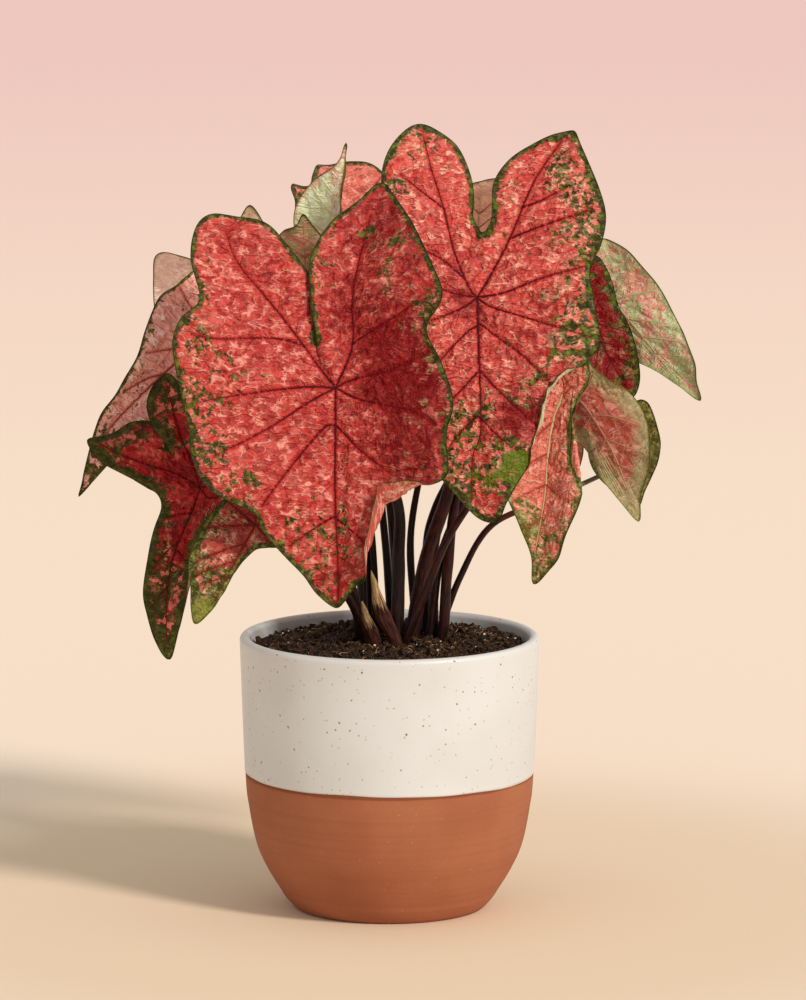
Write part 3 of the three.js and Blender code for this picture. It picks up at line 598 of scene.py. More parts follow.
# How red each stalk is towards its blade, and which turn grey-green there
STALK_RED = {
    "leaf_front_right": 0.75, "leaf_behind_right": 0.8, "leaf_right": 0.55, "leaf_top_right": 0.5,
    "leaf_low_right": 0.5, "leaf_back_top": 0.6, "leaf_small_right": 0.6,
}
PLAIN_STALK_RED = 0.15
GREEN_TIPS = ["leaf_small_right", "leaf_right"]

# The stage: floor colours near the pot, where they are a broad painted shadow, behind it and far
# away, the even light and the broad lamp, which comes from a bearing to the right of the front and a
# height, in degrees
FLOOR_NEAR_SHADED = (230, 205, 176)
FLOOR_MIDDLE = (243, 221, 200)
FLOOR_FAR = (234, 196, 190)
FLOOR_RADIUS = 14
FLOOR_CORNERS = 96
FLOOR_DROP = 0.0002
SKY_COLOUR = (0.975, 0.98, 0.955)
SKY_STRENGTH = 0.62
KEY_FROM = (45, 35)
KEY_STRENGTH = 2.45
KEY_SOFTNESS = 10
KEY_COLOUR = (1.0, 0.95, 0.905)
# The camera's place in metres, its angle down in degrees and its lens in millimetres
CAMERA_PLACE = (0.0075, -4.0, 0.864)
CAMERA_PITCH = 9.04
CAMERA_LENS = 264.2


def turns(count):
    """Angles of a whole turn in even steps."""
    return np.arange(count) / count * 2 * math.pi


def circle(angles):
    """Points of the unit circle at the angles."""
    return np.stack([np.cos(angles), np.sin(angles)], 1)


def unit(vectors):
    return vectors / np.maximum(np.linalg.norm(vectors, axis=-1, keepdims=True), 1e-12)


def catmull(before, start, end, after, part):
    """A Catmull-Rom point between start and end."""
    inward, outward = (end - before) / 2, (after - start) / 2
    square, cube = part**2, part**3
    return (
        (2 * cube - 3 * square + 1) * start + (cube - 2 * square + part) * inward
        + (3 * square - 2 * cube) * end + (cube - square) * outward
    )


def closed_curve(corners, places):
    """Points of a closed curve through the corners, at places counted in corners."""
    index = np.floor(places).astype(int)
    part = (places - index)[:, None]
    around = [corners[(index + shift) % len(corners)] for shift in (-1, 0, 1, 2)]
    return catmull(*around, part)


def extended(points):
    """The points with one more past either end."""
    return np.vstack([2 * points[0] - points[1], points, 2 * points[-1] - points[-2]])


def respaced(dense, step=None, count=None):
    """Evenly spaced points on a line through dense ones: count of them, or about step apart."""
    steps = np.linalg.norm(np.diff(dense, axis=0), axis=1)
    length = np.concatenate([[0], np.cumsum(steps)])
    even = np.linspace(0, length[-1], count or max(3, round(length[-1] / step) + 1))
    return np.stack([np.interp(even, length, axis) for axis in dense.T], 1)


def open_curve(points, step):
    """Evenly spaced points on an open curve through the given ones, about step apart."""
    points = np.asarray(points, float)
    ends = extended(points)
    part = np.linspace(0, 1, 24, endpoint=False)[:, None]
    dense = [catmull(*ends[index:index + 4], part) for index in range(len(points) - 1)]
    return respaced(np.vstack([*dense, points[-1:]]), step=step)


def polar(pairs):
    """Flat points from [bearing, reach] pairs."""
    pairs = np.asarray(pairs, float)
    turn = np.radians(pairs[:, 0])
    return pairs[:, 1:] * np.stack([np.sin(turn), np.cos(turn)], 1)


def arc(distance, start, bend):
    """Along and up after a distance on an arc that starts at an angle and turns by bend per mm."""
    turn = np.where(np.abs(bend) < 1e-7, 1e-7, bend)
    end = start + turn * distance
    return (np.sin(end) - np.sin(start)) / turn, (np.cos(start) - np.cos(end)) / turn


def curled(curl, x, y):
    """The flat points rolled up past a line, and how high they rise there."""
    radius, line = curl["radius"], np.array(curl["starts"])
    bearing = np.degrees(np.arctan2(x, y)) % 360
    reach = np.maximum(np.hypot(x, y), 1e-9)
    start = np.interp(bearing, line[:, 0], line[:, 1], left=np.inf, right=np.inf)
    over = np.maximum(0, reach - start)
    shorter = (reach - over + radius * np.sin(over / radius)) / reach
    return x * shorter, y * shorter, radius * (1 - np.cos(over / radius))


def bend_leaf(leaf, x, y, share, past):
    """The flat points (x, y) bent to the leaf's form, as in the part's source."""
    rise = np.zeros_like(x)
    if "curl" in leaf:
        x, y, rise = curled(leaf["curl"], x, y)
    height, waves, phase = leaf["wave"]
    swing = waves * past / len(leaf["outline"]) * 2 * math.pi + math.radians(phase)
    rise = rise + height * share**2.2 * np.sin(swing)
    lap = past / LAP_WIDTH
    rise = rise + leaf.get("lap", 0) * share * lap * np.exp(0.5 - lap * lap)

    right = x >= 0
    fold = np.radians(np.where(right, *leaf["fold"]))
    cup = np.radians(np.where(right, *leaf["cup"])) / 100
    out = np.hypot(x, RIB_SOFTNESS) - RIB_SOFTNESS
    across, up = arc(out, fold, cup)
    slope = fold + cup * out
    grown = out / (out + RIB_SOFTNESS)
    bent_x = np.where(right, 1, -1) * (across + np.abs(x) - out - rise * np.sin(slope) * grown)
    bent_z = up + rise * np.cos(slope)

    droop = -np.radians(np.where(y >= 0, *leaf["droop"])) / 100
    along, down = arc(np.abs(y), 0.0, droop)
    tilt = droop * np.abs(y)
    bent_y = np.sign(y) * (along - bent_z * np.sin(tilt))
    return np.stack([bent_x, bent_y, down + bent_z * np.cos(tilt)], 1)


def leaf_frame(leaf):
    """The directions across, towards the tip and out of the upper face."""
    heading, climb, roll = np.radians(leaf["aim"])
    tip = np.array([
        math.sin(heading) * math.cos(climb), -math.cos(heading) * math.cos(climb), math.sin(climb),
    ])
    level = np.array([tip[1], -tip[0], 0]) / math.hypot(tip[0], tip[1])
    face = np.cross(level, tip)
    face = face * math.cos(roll) + np.cross(tip, face) * math.sin(roll)
    return np.stack([np.cross(tip, face), tip, face])


def placed(leaf, points):
    """Points of the leaf's own frame, placed on the plant."""
    return np.asarray(leaf["at"], float) + points @ leaf_frame(leaf)


def ripples(x, y, seed, count, low, high):
    """Crossed waves of seeded directions and of lengths between low and high, about -1 to 1."""
    draw = np.random.default_rng(seed)
    turn = draw.uniform(0, 2 * math.pi, count)
    wave = 2 * math.pi / draw.uniform(low, high, count)
    phase = draw.uniform(0, 2 * math.pi, count)
    total = np.zeros_like(x)
    for index in range(count):
        along = x * math.cos(turn[index]) + y * math.sin(turn[index])
        total += np.sin(wave[index] * along + phase[index])
    return total / math.sqrt(count)


def nearest(points, others):
    """How far each point is from the nearest of the others, a batch at a time."""
    result = np.empty(len(points))
    for start in range(0, len(points), 2000):
        part = points[start:start + 2000, None, :] - others[None]
        result[start:start + 2000] = np.sqrt((part**2).sum(2).min(1))
    return result


def triangles_of(rings, spokes):
    """The fan round the middle point and the bands between rings."""
    spoke = np.arange(spokes)
    following = (spoke + 1) % spokes
    faces = [np.stack([np.zeros(spokes, int), 1 + following, 1 + spoke], 1)]
    for ring in range(rings - 1):
        inner, outer = 1 + ring * spokes, 1 + (ring + 1) * spokes
        faces.append(np.stack([inner + spoke, inner + following, outer + following], 1))
        faces.append(np.stack([inner + spoke, outer + following, outer + spoke], 1))
    return np.vstack(faces)


def normals_of(points, faces):
    """Unit vertex normals, weighted by the area of the faces."""
    corner = points[faces]
    cross = np.cross(corner[:, 1] - corner[:, 0], corner[:, 2] - corner[:, 0])
    total = np.zeros_like(points)
    for side in range(3):
        np.add.at(total, faces[:, side], cross)
    return unit(total)


def leaf_sheet(leaf):
    """The leaf's flat grid: places, share and past of each point, and its triangles."""
    outline = leaf["outline"]
    count = len(outline)
    first, last = NOTCH_BEARINGS
    behind = [index for index, (bearing, _) in enumerate(outline) if first < bearing < last]
    notch = min(behind, key=lambda index: outline[index][1])
    grid = FRONT_GRID if leaf["at"][1] < FRONT_DEPTH else LEAF_GRID
    fine = np.arange(0, count, 0.05)
    curve = closed_curve(polar(outline), fine)
    steps = np.linalg.norm(np.roll(curve, -1, 0) - curve, axis=1)
    travelled = np.concatenate([[0], np.cumsum(steps)])
    spokes = max(48, round(travelled[-1] / grid))
    even = np.linspace(0, travelled[-1], spokes, endpoint=False)
    where = np.interp(even, travelled, np.append(fine, count))
    margin = closed_curve(polar(outline), where)
    turn = math.radians(outline[notch][0]) + (where - notch) / count * 2 * math.pi
    disc = DISC_SHARE * min(reach for _, reach in outline)
    inner = disc * np.stack([np.sin(turn), np.cos(turn)], 1)
    inside = max(3, round(disc / grid))
    outside = max(6, round(np.linalg.norm(margin - inner, axis=1).mean() / grid))
    reach = np.linalg.norm(margin, axis=1)
    rings = [inner * part for part in np.arange(1, inside + 1) / inside]
    rings += [inner + (margin - inner) * part for part in np.arange(1, outside + 1) / outside]
    shares = [np.minimum(1, np.linalg.norm(ring, axis=1) / reach) for ring in rings]
    shares[-1] = np.ones(spokes)
    past = (where - notch + count / 2) % count - count / 2
    return {
        "flat": np.vstack([[[0, 0]], *rings]),
        "share": np.concatenate([[0], *shares]),
        "past": np.concatenate([[0], *[past] * len(rings)]),
        "where": np.concatenate([[0], *[where] * len(rings)]),
        "faces": triangles_of(len(rings), spokes),
        "margin": margin,
        "outline": outline,
        "spokes": spokes,
    }


class Reach:
    """How far the margin is from the stalk at a bearing, for outlines seen whole from the stalk."""

    def __init__(self, outline):
        pairs = sorted([bearing % 360, reach] for bearing, reach in outline)
        self.bearings = [pairs[-1][0] - 360, *[pair[0] for pair in pairs], pairs[0][0] + 360]
        self.reaches = [pairs[-1][1], *[pair[1] for pair in pairs], pairs[0][1]]

    def at(self, bearing):
        return float(np.interp(bearing % 360, self.bearings, self.reaches))

    def share(self, point):
        bearing = math.degrees(math.atan2(point[0], point[1]))
        return math.hypot(*point) / self.at(bearing)


def grown_vein(reach, start, heading, turning, most=70):
    """A vein from start on a heading, turning by degrees per mm, until it is near the margin."""
    points = [np.asarray(start, float)]
    while len(points) < most and reach.share(points[-1]) < 0.9:
        turn = math.radians(heading)
        points.append(points[-1] + VEIN_STEP * np.array([math.sin(turn), math.cos(turn)]))
        heading += VEIN_STEP * turning
    return np.array(points)


def plain_veins(leaf):
    """A midrib, a vein to each lobe, side veins from the stalk and laterals in pairs."""
    reach = Reach(leaf["outline"])
    tip = reach.at(0)
    veins = [np.array([[0, 0], [0, 0.5 * tip], [0, 0.94 * tip]])]
    for side in (1, -1):
        lobe = max(range(130, 172, 3), key=lambda bearing: reach.at(side * bearing))
        for bearing, turning in ((lobe, 0), (106, -0.12), (66, -0.25)):
            veins.append(grown_vein(reach, (0, 0), side * bearing, side * turning))
        for start in (0.22, 0.42, 0.6):
            veins.append(grown_vein(reach, (0, start * tip), side * 50, side * -0.35))
    return [vein for vein in veins if len(vein) > 2]


def main_veins(name, leaf, margin, size):
    """The leaf's main veins as [flat points, half width at the start, half width at the end]."""
    mains = [polar(pairs) for pairs in VEINS[name]] if name in VEINS else plain_veins(leaf)
    lines = []
    for index, vein in enumerate(mains):
        points = open_curve(vein, VEIN_STEP)
        close = np.append(nearest(points, margin) < VEIN_MARGIN, True)
        close[:len(points) // 2] = False
        points = points[:np.argmax(close)]
        if len(points) < 4:
            continue
        from_stalk = math.hypot(*points[0]) < 2
        kind = MIDRIB_WIDTH if index == 0 else STALK_VEIN_WIDTH if from_stalk else BRANCH_WIDTH
        lines.append([points, 0.006 * size + kind, VEIN_END_WIDTH])
    return lines


def vein_lines(name, leaf):
    """The main veins, and the twigs that leave them on both sides in turn."""
    reach = Reach(leaf["outline"])
    margin = closed_curve(polar(leaf["outline"]), np.arange(0, len(leaf["outline"]), 0.1))
    size = reach.at(0)
    lines = main_veins(name, leaf, margin, size)
    draw = np.random.default_rng(len(name) * 7 + round(size))
    every = max(3, round(TWIG_SPACING / VEIN_STEP))
    for points, _, _ in list(lines):
        side = 1
        for index in range(every, len(points) - 2, every // 2 + 1):
            along = points[index + 1] - points[index - 1]
            heading = math.degrees(math.atan2(along[0], along[1]))
            side = -side
            out = heading + side * draw.uniform(48, 62)
            twig = grown_vein(reach, points[index], out, -side * draw.uniform(0.4, 1.2))
            twig = twig[:round(draw.uniform(5, 10))]
            twig = twig[:np.argmax(np.append(nearest(twig, margin) < TWIG_MARGIN, True))]
            if len(twig) > 3:
                lines.append([twig, *TWIG_WIDTHS])
    return lines


def paint(red, green, blue):
    """A linear colour from numbers between 0 and 255, as on a screen."""
    part = [value / 255 for value in (red, green, blue)]
    return tuple(p / 12.92 if p <= 0.04045 else ((p + 0.055) / 1.055) ** 2.4 for p in part)


class Value:
    """One output of a material's node. Sums, products and calls on it add the nodes they need."""

    def __init__(self, shader, socket):
        self.shader, self.socket = shader, socket

    def __add__(self, other):
        return self.shader.math("ADD", self, other)

    def __radd__(self, other):
        return self.shader.math("ADD", other, self)

    def __sub__(self, other):
        return self.shader.math("SUBTRACT", self, other)

    def __rsub__(self, other):
        return self.shader.math("SUBTRACT", other, self)

    def __mul__(self, other):
        return self.shader.math("MULTIPLY", self, other)

    def larger(self, other):
        return self.shader.math("MAXIMUM", self, other)

    def vector(self, operation, other, output="Vector"):
        return self.shader.node("VectorMath", {0: self, 1: other}, output, operation=operation)

    def length(self):
        return self.shader.node("VectorMath", {0: self}, "Value", operation="LENGTH")

    def scaled(self, *sizes):
        return self.vector("MULTIPLY", sizes)

    def split(self):
        outputs = self.shader.node("SeparateXYZ", {0: self}).socket.node.outputs
        return [Value(self.shader, output) for output in outputs]

    def noise(self, size, detail=2, output="Fac"):
        inputs = {"Vector": self, "Scale": 1 / size, "Detail": detail}
        return self.shader.node("TexNoise", inputs, output)

    def warped(self, size, amount):
        """Places pushed about by noise of a size, by up to about half the amount."""
        push = self.noise(size, 2, "Color").vector("SUBTRACT", (0.5, 0.5, 0.5))
        return self.vector("ADD", push.scaled(amount, amount, amount))

    def dots(self, size, inner, outer):
        """1 within inner of scattered points that are a size apart, and 0 past outer."""
        cells = self.shader.node("TexVoronoi", {"Vector": self, "Scale": 1 / size}, "Distance")
        return 1 - cells.between(inner, outer)

    def between(self, low, high):
        """0 at low and 1 at high, with a smooth step between."""
        inputs = {"Value": self, "From Min": low, "From Max": high}
        return self.shader.node("MapRange", inputs, interpolation_type="SMOOTHSTEP")

    def push(self, size):
        """A noise turned into a push up or down by up to about half the size."""
        return (self - 0.5) * size

    def mix(self, first, second):
        """The first colour where this is 0, and the second where it is 1."""
        return self.shader.node("Mix", {0: self, 6: first, 7: second}, 2, data_type="RGBA")

    def bump(self, depth):
        """A normal from this height between 0 and 1, as deep as depth in millimetres."""
        inputs = {"Strength": 1, "Distance": depth * MM, "Height": self}
        return self.shader.node("Bump", inputs, "Normal")


class Shader:
    """A node material around one Principled shader."""

    def __init__(self, name):
        self.material = bpy.data.materials.new(name)
        self.material.use_nodes = True
        self.tree = self.material.node_tree
        self.tree.nodes.clear()
        self.skin = self.tree.nodes.new("ShaderNodeBsdfPrincipled")
        output = self.tree.nodes.new("ShaderNodeOutputMaterial")
        self.tree.links.new(self.skin.outputs["BSDF"], output.inputs["Surface"])

    def put(self, socket, value):
        if isinstance(value, Value):
            self.tree.links.new(value.socket, socket)
        elif socket.type == "RGBA":
            socket.default_value = (*value, 1)
        else:
            socket.default_value = value

    def node(self, kind, inputs, output=0, **settings):
        """Adds a node, feeds its inputs by their place or name, and gives one of its outputs."""
        node = self.tree.nodes.new("ShaderNode" + kind)
        for key, value in settings.items():
            setattr(node, key, value)
        for key, value in inputs.items():
            self.put(node.inputs[key], value)
        return Value(self, node.outputs[output])

    def math(self, operation, first, second):
        return self.node("Math", {0: first, 1: second}, operation=operation)

    def attribute(self, name, output="Vector"):
        return self.node("Attribute", {}, output, attribute_name=name)

    def place(self):
        """The object's own coordinates in millimetres."""
        return self.node("TexCoord", {}, "Object").scaled(1000, 1000, 1000)

    def finish(self, **values):
        """Sets inputs of the Principled shader, as base_color for Base Color."""
        for name, value in values.items():
            self.put(self.skin.inputs[name.replace("_", " ").title().replace("Ior", "IOR")], value)
        return self.material


# The colours of each kind of leaf: reds of the upper face; its pale, painted as highlight on folds
# and shown as real pale islands; its dark vein sides, also painted as shade in its furrows; the
# greens of its specks and margin, with creams painted on their crests as highlights; and the
# underside with its blush.
PALETTES = {
    RED: {
        "deep": (124, 5, 7), "bright": (194, 58, 50), "pale_and_highlight": (238, 160, 140),
        "halo_and_shade": (104, 3, 7), "green": (46, 48, 6), "lime": (100, 108, 22),
        "cream_highlight": (226, 166, 134), "vein": (76, 4, 8), "rim": (48, 52, 8), "rib": (160, 84, 70),
        "under": (214, 168, 138), "blush": (212, 116, 98), "pale": (244, 206, 182),
    },
    ROSE: {
        "deep": (150, 44, 34), "bright": (208, 104, 86), "pale_and_highlight": (240, 176, 152),
        "halo_and_shade": (118, 24, 20), "green": (60, 60, 10), "lime": (122, 120, 46),
        "cream_highlight": (234, 200, 160), "vein": (112, 24, 22), "rim": (74, 74, 16), "rib": (168, 94, 76),
        "under": (206, 166, 136), "blush": (212, 128, 106), "pale": (240, 196, 170),
    },
    PALE: {
        "deep": (164, 94, 62), "bright": (208, 156, 118), "pale_and_highlight": (238, 204, 170),
        "halo_and_shade": (132, 88, 50), "green": (92, 94, 30), "lime": (156, 156, 88),
        "cream_highlight": (238, 216, 178), "vein": (134, 66, 48), "rim": (116, 118, 50),
        "rib": (190, 140, 106), "under": (204, 194, 144), "blush": (212, 156, 126),
        "pale": (240, 222, 188),
    },
}


def creases(flat, large, small):
    """Short curved folds of two sizes: how much a place is on a crest, and how much in a furrow."""
    drawn = flat.scaled(0.55, 1.1, 1)
    first = drawn.warped(1.5 * large, large).noise(large, 1)
    second = drawn.warped(1.4 * small, small).noise(small, 1)
    broken = flat.noise(1.5 * small)

    def line(value, level, width):
        away = flat.shader.node("Math", {0: value - level}, operation="ABSOLUTE")
        return 1 - away.between(0.01, width)

    crest = line(first, 0.46, 0.062).larger(line(second, 0.53, 0.07) * 0.9)
    furrow = line(first, 0.58, 0.07).larger(line(second, 0.42, 0.07) * 0.8)
    return crest * broken.between(0.38, 0.56), furrow * (1 - broken.between(0.42, 0.64))


def green_cover(flat, edge, density, margin):
    """The green margin, the green specks, the red islands in them, their cluster and its dashes."""
    dash = flat.warped(9, 10).scaled(1.0, 0.62, 1.0).noise(2.4, 3)
    cluster = flat.warped(9, 8).noise(8.5, 3).push(2.6)
    near_edge = 1 - edge.between(0.5 * margin, 2.2 * margin + 6)
    zone = density + cluster + near_edge * 0.22
    specks = (zone + dash.push(1.6)).between(0.58, 0.70)
    islands = flat.warped(6, 5).noise(4.0).between(0.52, 0.58)
    ragged = (edge + flat.warped(5, 4).noise(2.4, 3).push(1.2 + 1.4 * margin)
              + flat.noise(11).push(2.0 * margin))
    border = 1 - ragged.between(0.7 * margin, 1.1 * margin + 0.1)
    return border, specks * (1 - islands), islands, zone, dash


def upper_face(name, palette, look):
    """Red between dark veins, crumpled, with painted highlights on its crests, green specks and a
    green margin.
    """
    shader = Shader(name)
    tints = {key: paint(*value) for key, value in palette.items()}
    flat = shader.attribute("flat")
    vein, edge, density = shader.attribute("field").split()
    tone, fold, _ = shader.attribute("tone").split()
    crest, furrow = creases(flat, 5.6, 3.4)
    pucker = flat.warped(7, 6).noise(4.0).between(0.36, 0.64)
    fine = flat.noise(1.2, 3)
    # Painted light and shade: tone is partly the leaf's own red and partly light and shade painted
    # across the blade.
    light = (tone + flat.noise(20).push(1.0) + flat.noise(8, 3).push(0.7)).between(0.0, 1.1)
    away = vein.between(0.6, 3.2)
    # Painted highlight: the tops of the puckers are painted paler.
    shade = light * 0.85 + pucker.push(0.22) + fine.push(0.18)
    colour = shade.between(0.0, 0.95).mix(tints["deep"], tints["bright"])
    # Painted highlight: the crests and creases away from the veins are painted pale, more where the
    # red is bright.
    raised = crest.larger(fold * 0.25) * away
    highlight_dabs = raised * flat.noise(5.0).between(0.26, 0.60)
    # Painted shade: the furrows between the crests are painted with the dark vein colour.
    colour = (furrow * away * 0.55).mix(colour, tints["halo_and_shade"])
    colour = (highlight_dabs * (0.04 + light * light * 0.86)).mix(colour, tints["pale_and_highlight"])
    beside = 1 - vein.between(0.4, look.get("halo_and_shade", 1.6))
    colour = (beside * 0.75).mix(colour, tints["halo_and_shade"])

    border, specks, islands, zone, dash = green_cover(flat, edge, density, look["margin"])
    spotted = islands * zone.between(0.5, 0.8) * look.get("spots", 0.15)
    colour = spotted.mix(colour, tints["pale_and_highlight"])
    green = flat.noise(3.2, 3).between(0.44, 0.70).mix(tints["green"], tints["lime"])
    # Painted highlight: where the green lies, the crests are painted cream, also on the green specks
    # and faintly on the margin.
    pale = zone.between(0.22, 0.58) * (1 - dash.between(0.42, 0.62))
    colour = (pale * raised * 0.65).mix(colour, tints["cream_highlight"])
    speckled = (highlight_dabs * 0.5).mix(green, tints["cream_highlight"])
    colour = (specks * vein.between(0.2, 1.0)).mix(colour, speckled)
    colour = border.mix(colour, (highlight_dabs * 0.12).mix(green, tints["cream_highlight"]))
    lime = density.between(1.1, 1.4) * dash.between(0.3, 0.42)
    colour = (lime * 0.8).mix(colour, tints["lime"])
    colour = (1 - edge.between(0.2, 0.9)).mix(colour, tints["rim"])
    height = crest + furrow * -0.9 + pucker * 0.8 + fine * 0.35
    return shader.finish(base_color=colour, roughness=0.34 + fine * 0.16,
                         specular_ior_level=0.16, normal=height.bump(0.55))


def under_face(name, palette, look):
    """The paler underside: blushed in soft blotches away from its margin, faintly creased."""
    shader = Shader(name)
    tints = {key: paint(*value) for key, value in palette.items()}
    flat = shader.attribute("flat")
    vein, edge, density = shader.attribute("field").split()
    blush = shader.attribute("tone").split()[2]
    crest, furrow = creases(flat, 6.0, 3.4)
    fine = flat.noise(1.3, 3)
    sage = look.get("sage", 0.5)
    inward = (edge + flat.noise(6, 3).push(sage)).between(0.35 * sage, sage)
    blotch = blush + flat.noise(12).push(1.4) + flat.noise(4.2, 3).push(1.5)
    colour = (blotch.between(0.36, 0.64) * inward).mix(tints["under"], tints["blush"])
    colour = (crest * 0.45).mix(colour, tints["pale"])
    colour = (furrow * 0.3).mix(colour, tints["rib"])
    colour = ((1 - vein.between(0.3, 1.6)) * 0.35).mix(colour, tints["rib"])
    border, specks = green_cover(flat, edge, density, look["margin"])[:2]
    colour = (border.larger(specks) * look.get("show", 0.3)).mix(colour, tints["lime"])
    colour = (1 - edge.between(0.2, 0.9)).mix(colour, tints["rim"])
    height = crest + furrow * -0.8 + fine * 0.4
    return shader.finish(base_color=colour, roughness=0.48 + fine * 0.18,
                         specular_ior_level=0.2, normal=height.bump(0.32))


def vein_skin(name, dark, light, midrib=None):
    """A rib that is darkest where it starts and blends in towards its end."""
    shader = Shader(name)
    place = shader.place()
    along, first, _ = shader.attribute("tone").split()
    mottled = place.noise(2.5, 3)
    part = along * 0.75 + mottled.push(0.6)
    colour = part.between(0.0, 0.9).mix(paint(*dark), paint(*light))
    if midrib:
        colour = first.mix(colour, paint(*midrib))
    return shader.finish(base_color=colour, roughness=0.55 + mottled * 0.2,
                         specular_ior_level=0.1, normal=place.noise(0.9).bump(0.05))


def margin_skin(name, rim):
    """The thin cut edge of a blade."""
    shader = Shader(name)
    mottled = shader.place().noise(6, 3)
    dark = [0.55 * value for value in paint(*rim)]
    colour = mottled.between(0.35, 0.65).mix(dark, paint(*rim))
    return shader.finish(base_color=colour, roughness=0.5, normal=mottled.bump(0.05))


class MeshParts:
    """Collects points, faces, places on the baked map and material numbers of one mesh."""

    def __init__(self):
        self.points, self.faces, self.maps, self.slots, self.smooth = [], [], [], [], []
        self.size = 0

    def add(self, points, faces, maps, slot):
        """faces are rows of point numbers, and maps holds a place for each corner of each face."""
        self.points.append(points)
        self.join(faces + self.size, maps, slot)
        self.size += len(points)

    def join(self, faces, maps, slot, smooth=True):
        """Faces between points that are there already."""
        self.faces.append(faces)
        self.maps.append(maps)
        self.slots.append(np.broadcast_to(slot, len(faces)))
        self.smooth.append(np.full(len(faces), smooth))

    def build(self, name, materials):
        mesh = bpy.data.meshes.new(name)
        points = np.vstack(self.points) * MM
        sizes = np.concatenate([np.full(len(faces), faces.shape[1]) for faces in self.faces])
        corners = np.concatenate([faces.ravel() for faces in self.faces])
        starts = np.concatenate([[0], np.cumsum(sizes)[:-1]])
        mesh.vertices.add(len(points))
        mesh.vertices.foreach_set("co", points.astype(np.float32).ravel())
        mesh.loops.add(len(corners))
        mesh.loops.foreach_set("vertex_index", corners.astype(np.int32))
        mesh.polygons.add(len(sizes))
        mesh.polygons.foreach_set("loop_start", starts.astype(np.int32))
        slots = np.concatenate(self.slots).astype(np.int32)
        mesh.polygons.foreach_set("material_index", slots)
        mesh.update(calc_edges=True)
        mesh.polygons.foreach_set("use_smooth", np.concatenate(self.smooth))
        layer = mesh.uv_layers.new(name="OFBake")
        maps = np.concatenate([place.reshape(-1, 2) for place in self.maps])
        layer.data.foreach_set("uv", maps.astype(np.float32).ravel())
        mesh.validate()
        for material in materials:
            mesh.materials.append(material)
        return shown(name, mesh)


def shown(name, data):
    """A new object in the scene with this mesh, lamp or camera."""
    thing = bpy.data.objects.new(name, data)
    bpy.context.scene.collection.objects.link(thing)
    return thing


def attribute(piece, name, values):
    """Stores a number or a vector for each point of the mesh."""
    kind, key = ("FLOAT", "value") if values.ndim == 1 else ("FLOAT_VECTOR", "vector")
    layer = piece.data.attributes.new(name, kind, "POINT")
    layer.data.foreach_set(key, values.astype(np.float32).ravel())


def tube_faces(rings, sides):
    """Quads round a tube and triangle fans on its two ends."""
    corner = np.arange(sides)
    following = (corner + 1) % sides
    bands = [
        np.stack([ring * sides + corner, ring * sides + following,
                  (ring + 1) * sides + following, (ring + 1) * sides + corner], 1)
        for ring in range(rings - 1)
    ]
    last = (rings - 1) * sides
    middle = np.arange(1, sides - 1)
    start = np.stack([np.zeros(sides - 2, int), middle + 1, middle], 1)
    end = np.stack([np.full(sides - 2, last), last + middle, last + middle + 1], 1)
    return np.vstack(bands), np.vstack([start, end])


def strip_map(rings, sides, box):
    """Places on the baked map for a tube's quads, in a box of (left, low, wide, high)."""
    left, low, wide, high = box
    ring = np.repeat(np.arange(rings - 1), sides)
    corner = np.tile(np.arange(sides), rings - 1)
    u = left + wide * np.stack([ring, ring, ring + 1, ring + 1], 1) / (rings - 1)
    v = low + high * np.stack([corner, corner + 1, corner + 1, corner], 1) / sides
    return np.stack([u, v], 2)


def shared_map(left, low, right, top, count):
    """One triangle of the baked map for count triangles that are hardly seen."""
    return np.broadcast_to([[left, low], [right, low], [left, top]], (count, 3, 2))


def face_map(flat, faces, box):
    """Places on the baked map for flat faces, at one scale, in a box."""
    left, low, wide, high = box
    lowest, highest = flat.min(0), flat.max(0)
    scale = min(wide / (highest[0] - lowest[0]), high / (highest[1] - lowest[1]))
    return (np.array([left, low]) + (flat - lowest) * scale)[faces]


# A leaf's materials, in the order of its slots
UPPER, UNDER, UPPER_RIB, UNDER_RIB, EDGE = range(5)

# Where the baked map has a leaf's two faces, its margin and its rows of ribs
UPPER_MAP = (0.005, 0.005, 0.485, 0.86)
UNDER_MAP = (0.505, 0.005, 0.485, 0.86)
MARGIN_LOW = 0.872
MARGIN_TOP = 0.884
RIB_ROWS = 9
RIB_LOW = 0.895
RIB_BAND = 0.10 / RIB_ROWS


def lifter(sheet, middle, up):
    """A function from flat points to their places on the bent leaf and their directions up."""
    flat, faces = sheet["flat"], sheet["faces"]
    tree = BVHTree.FromPolygons([(x, y, 0) for x, y in flat], faces.tolist())
    surfaces = (middle, middle + up)

    def lift(points):
        places, tops = [], []
        for x, y in points:
            point = Vector((x, y, 0))
            corner = faces[tree.find_nearest(point)[2]]
            flats = [Vector((*flat[number], 0)) for number in corner]
            here, above = (
                barycentric_transform(point, *flats, *[Vector(surface[n]) for n in corner])
                for surface in surfaces
            )
            places.append(here)
            tops.append((above - here).normalized())
        return np.array(places), np.array(tops)

    return lift


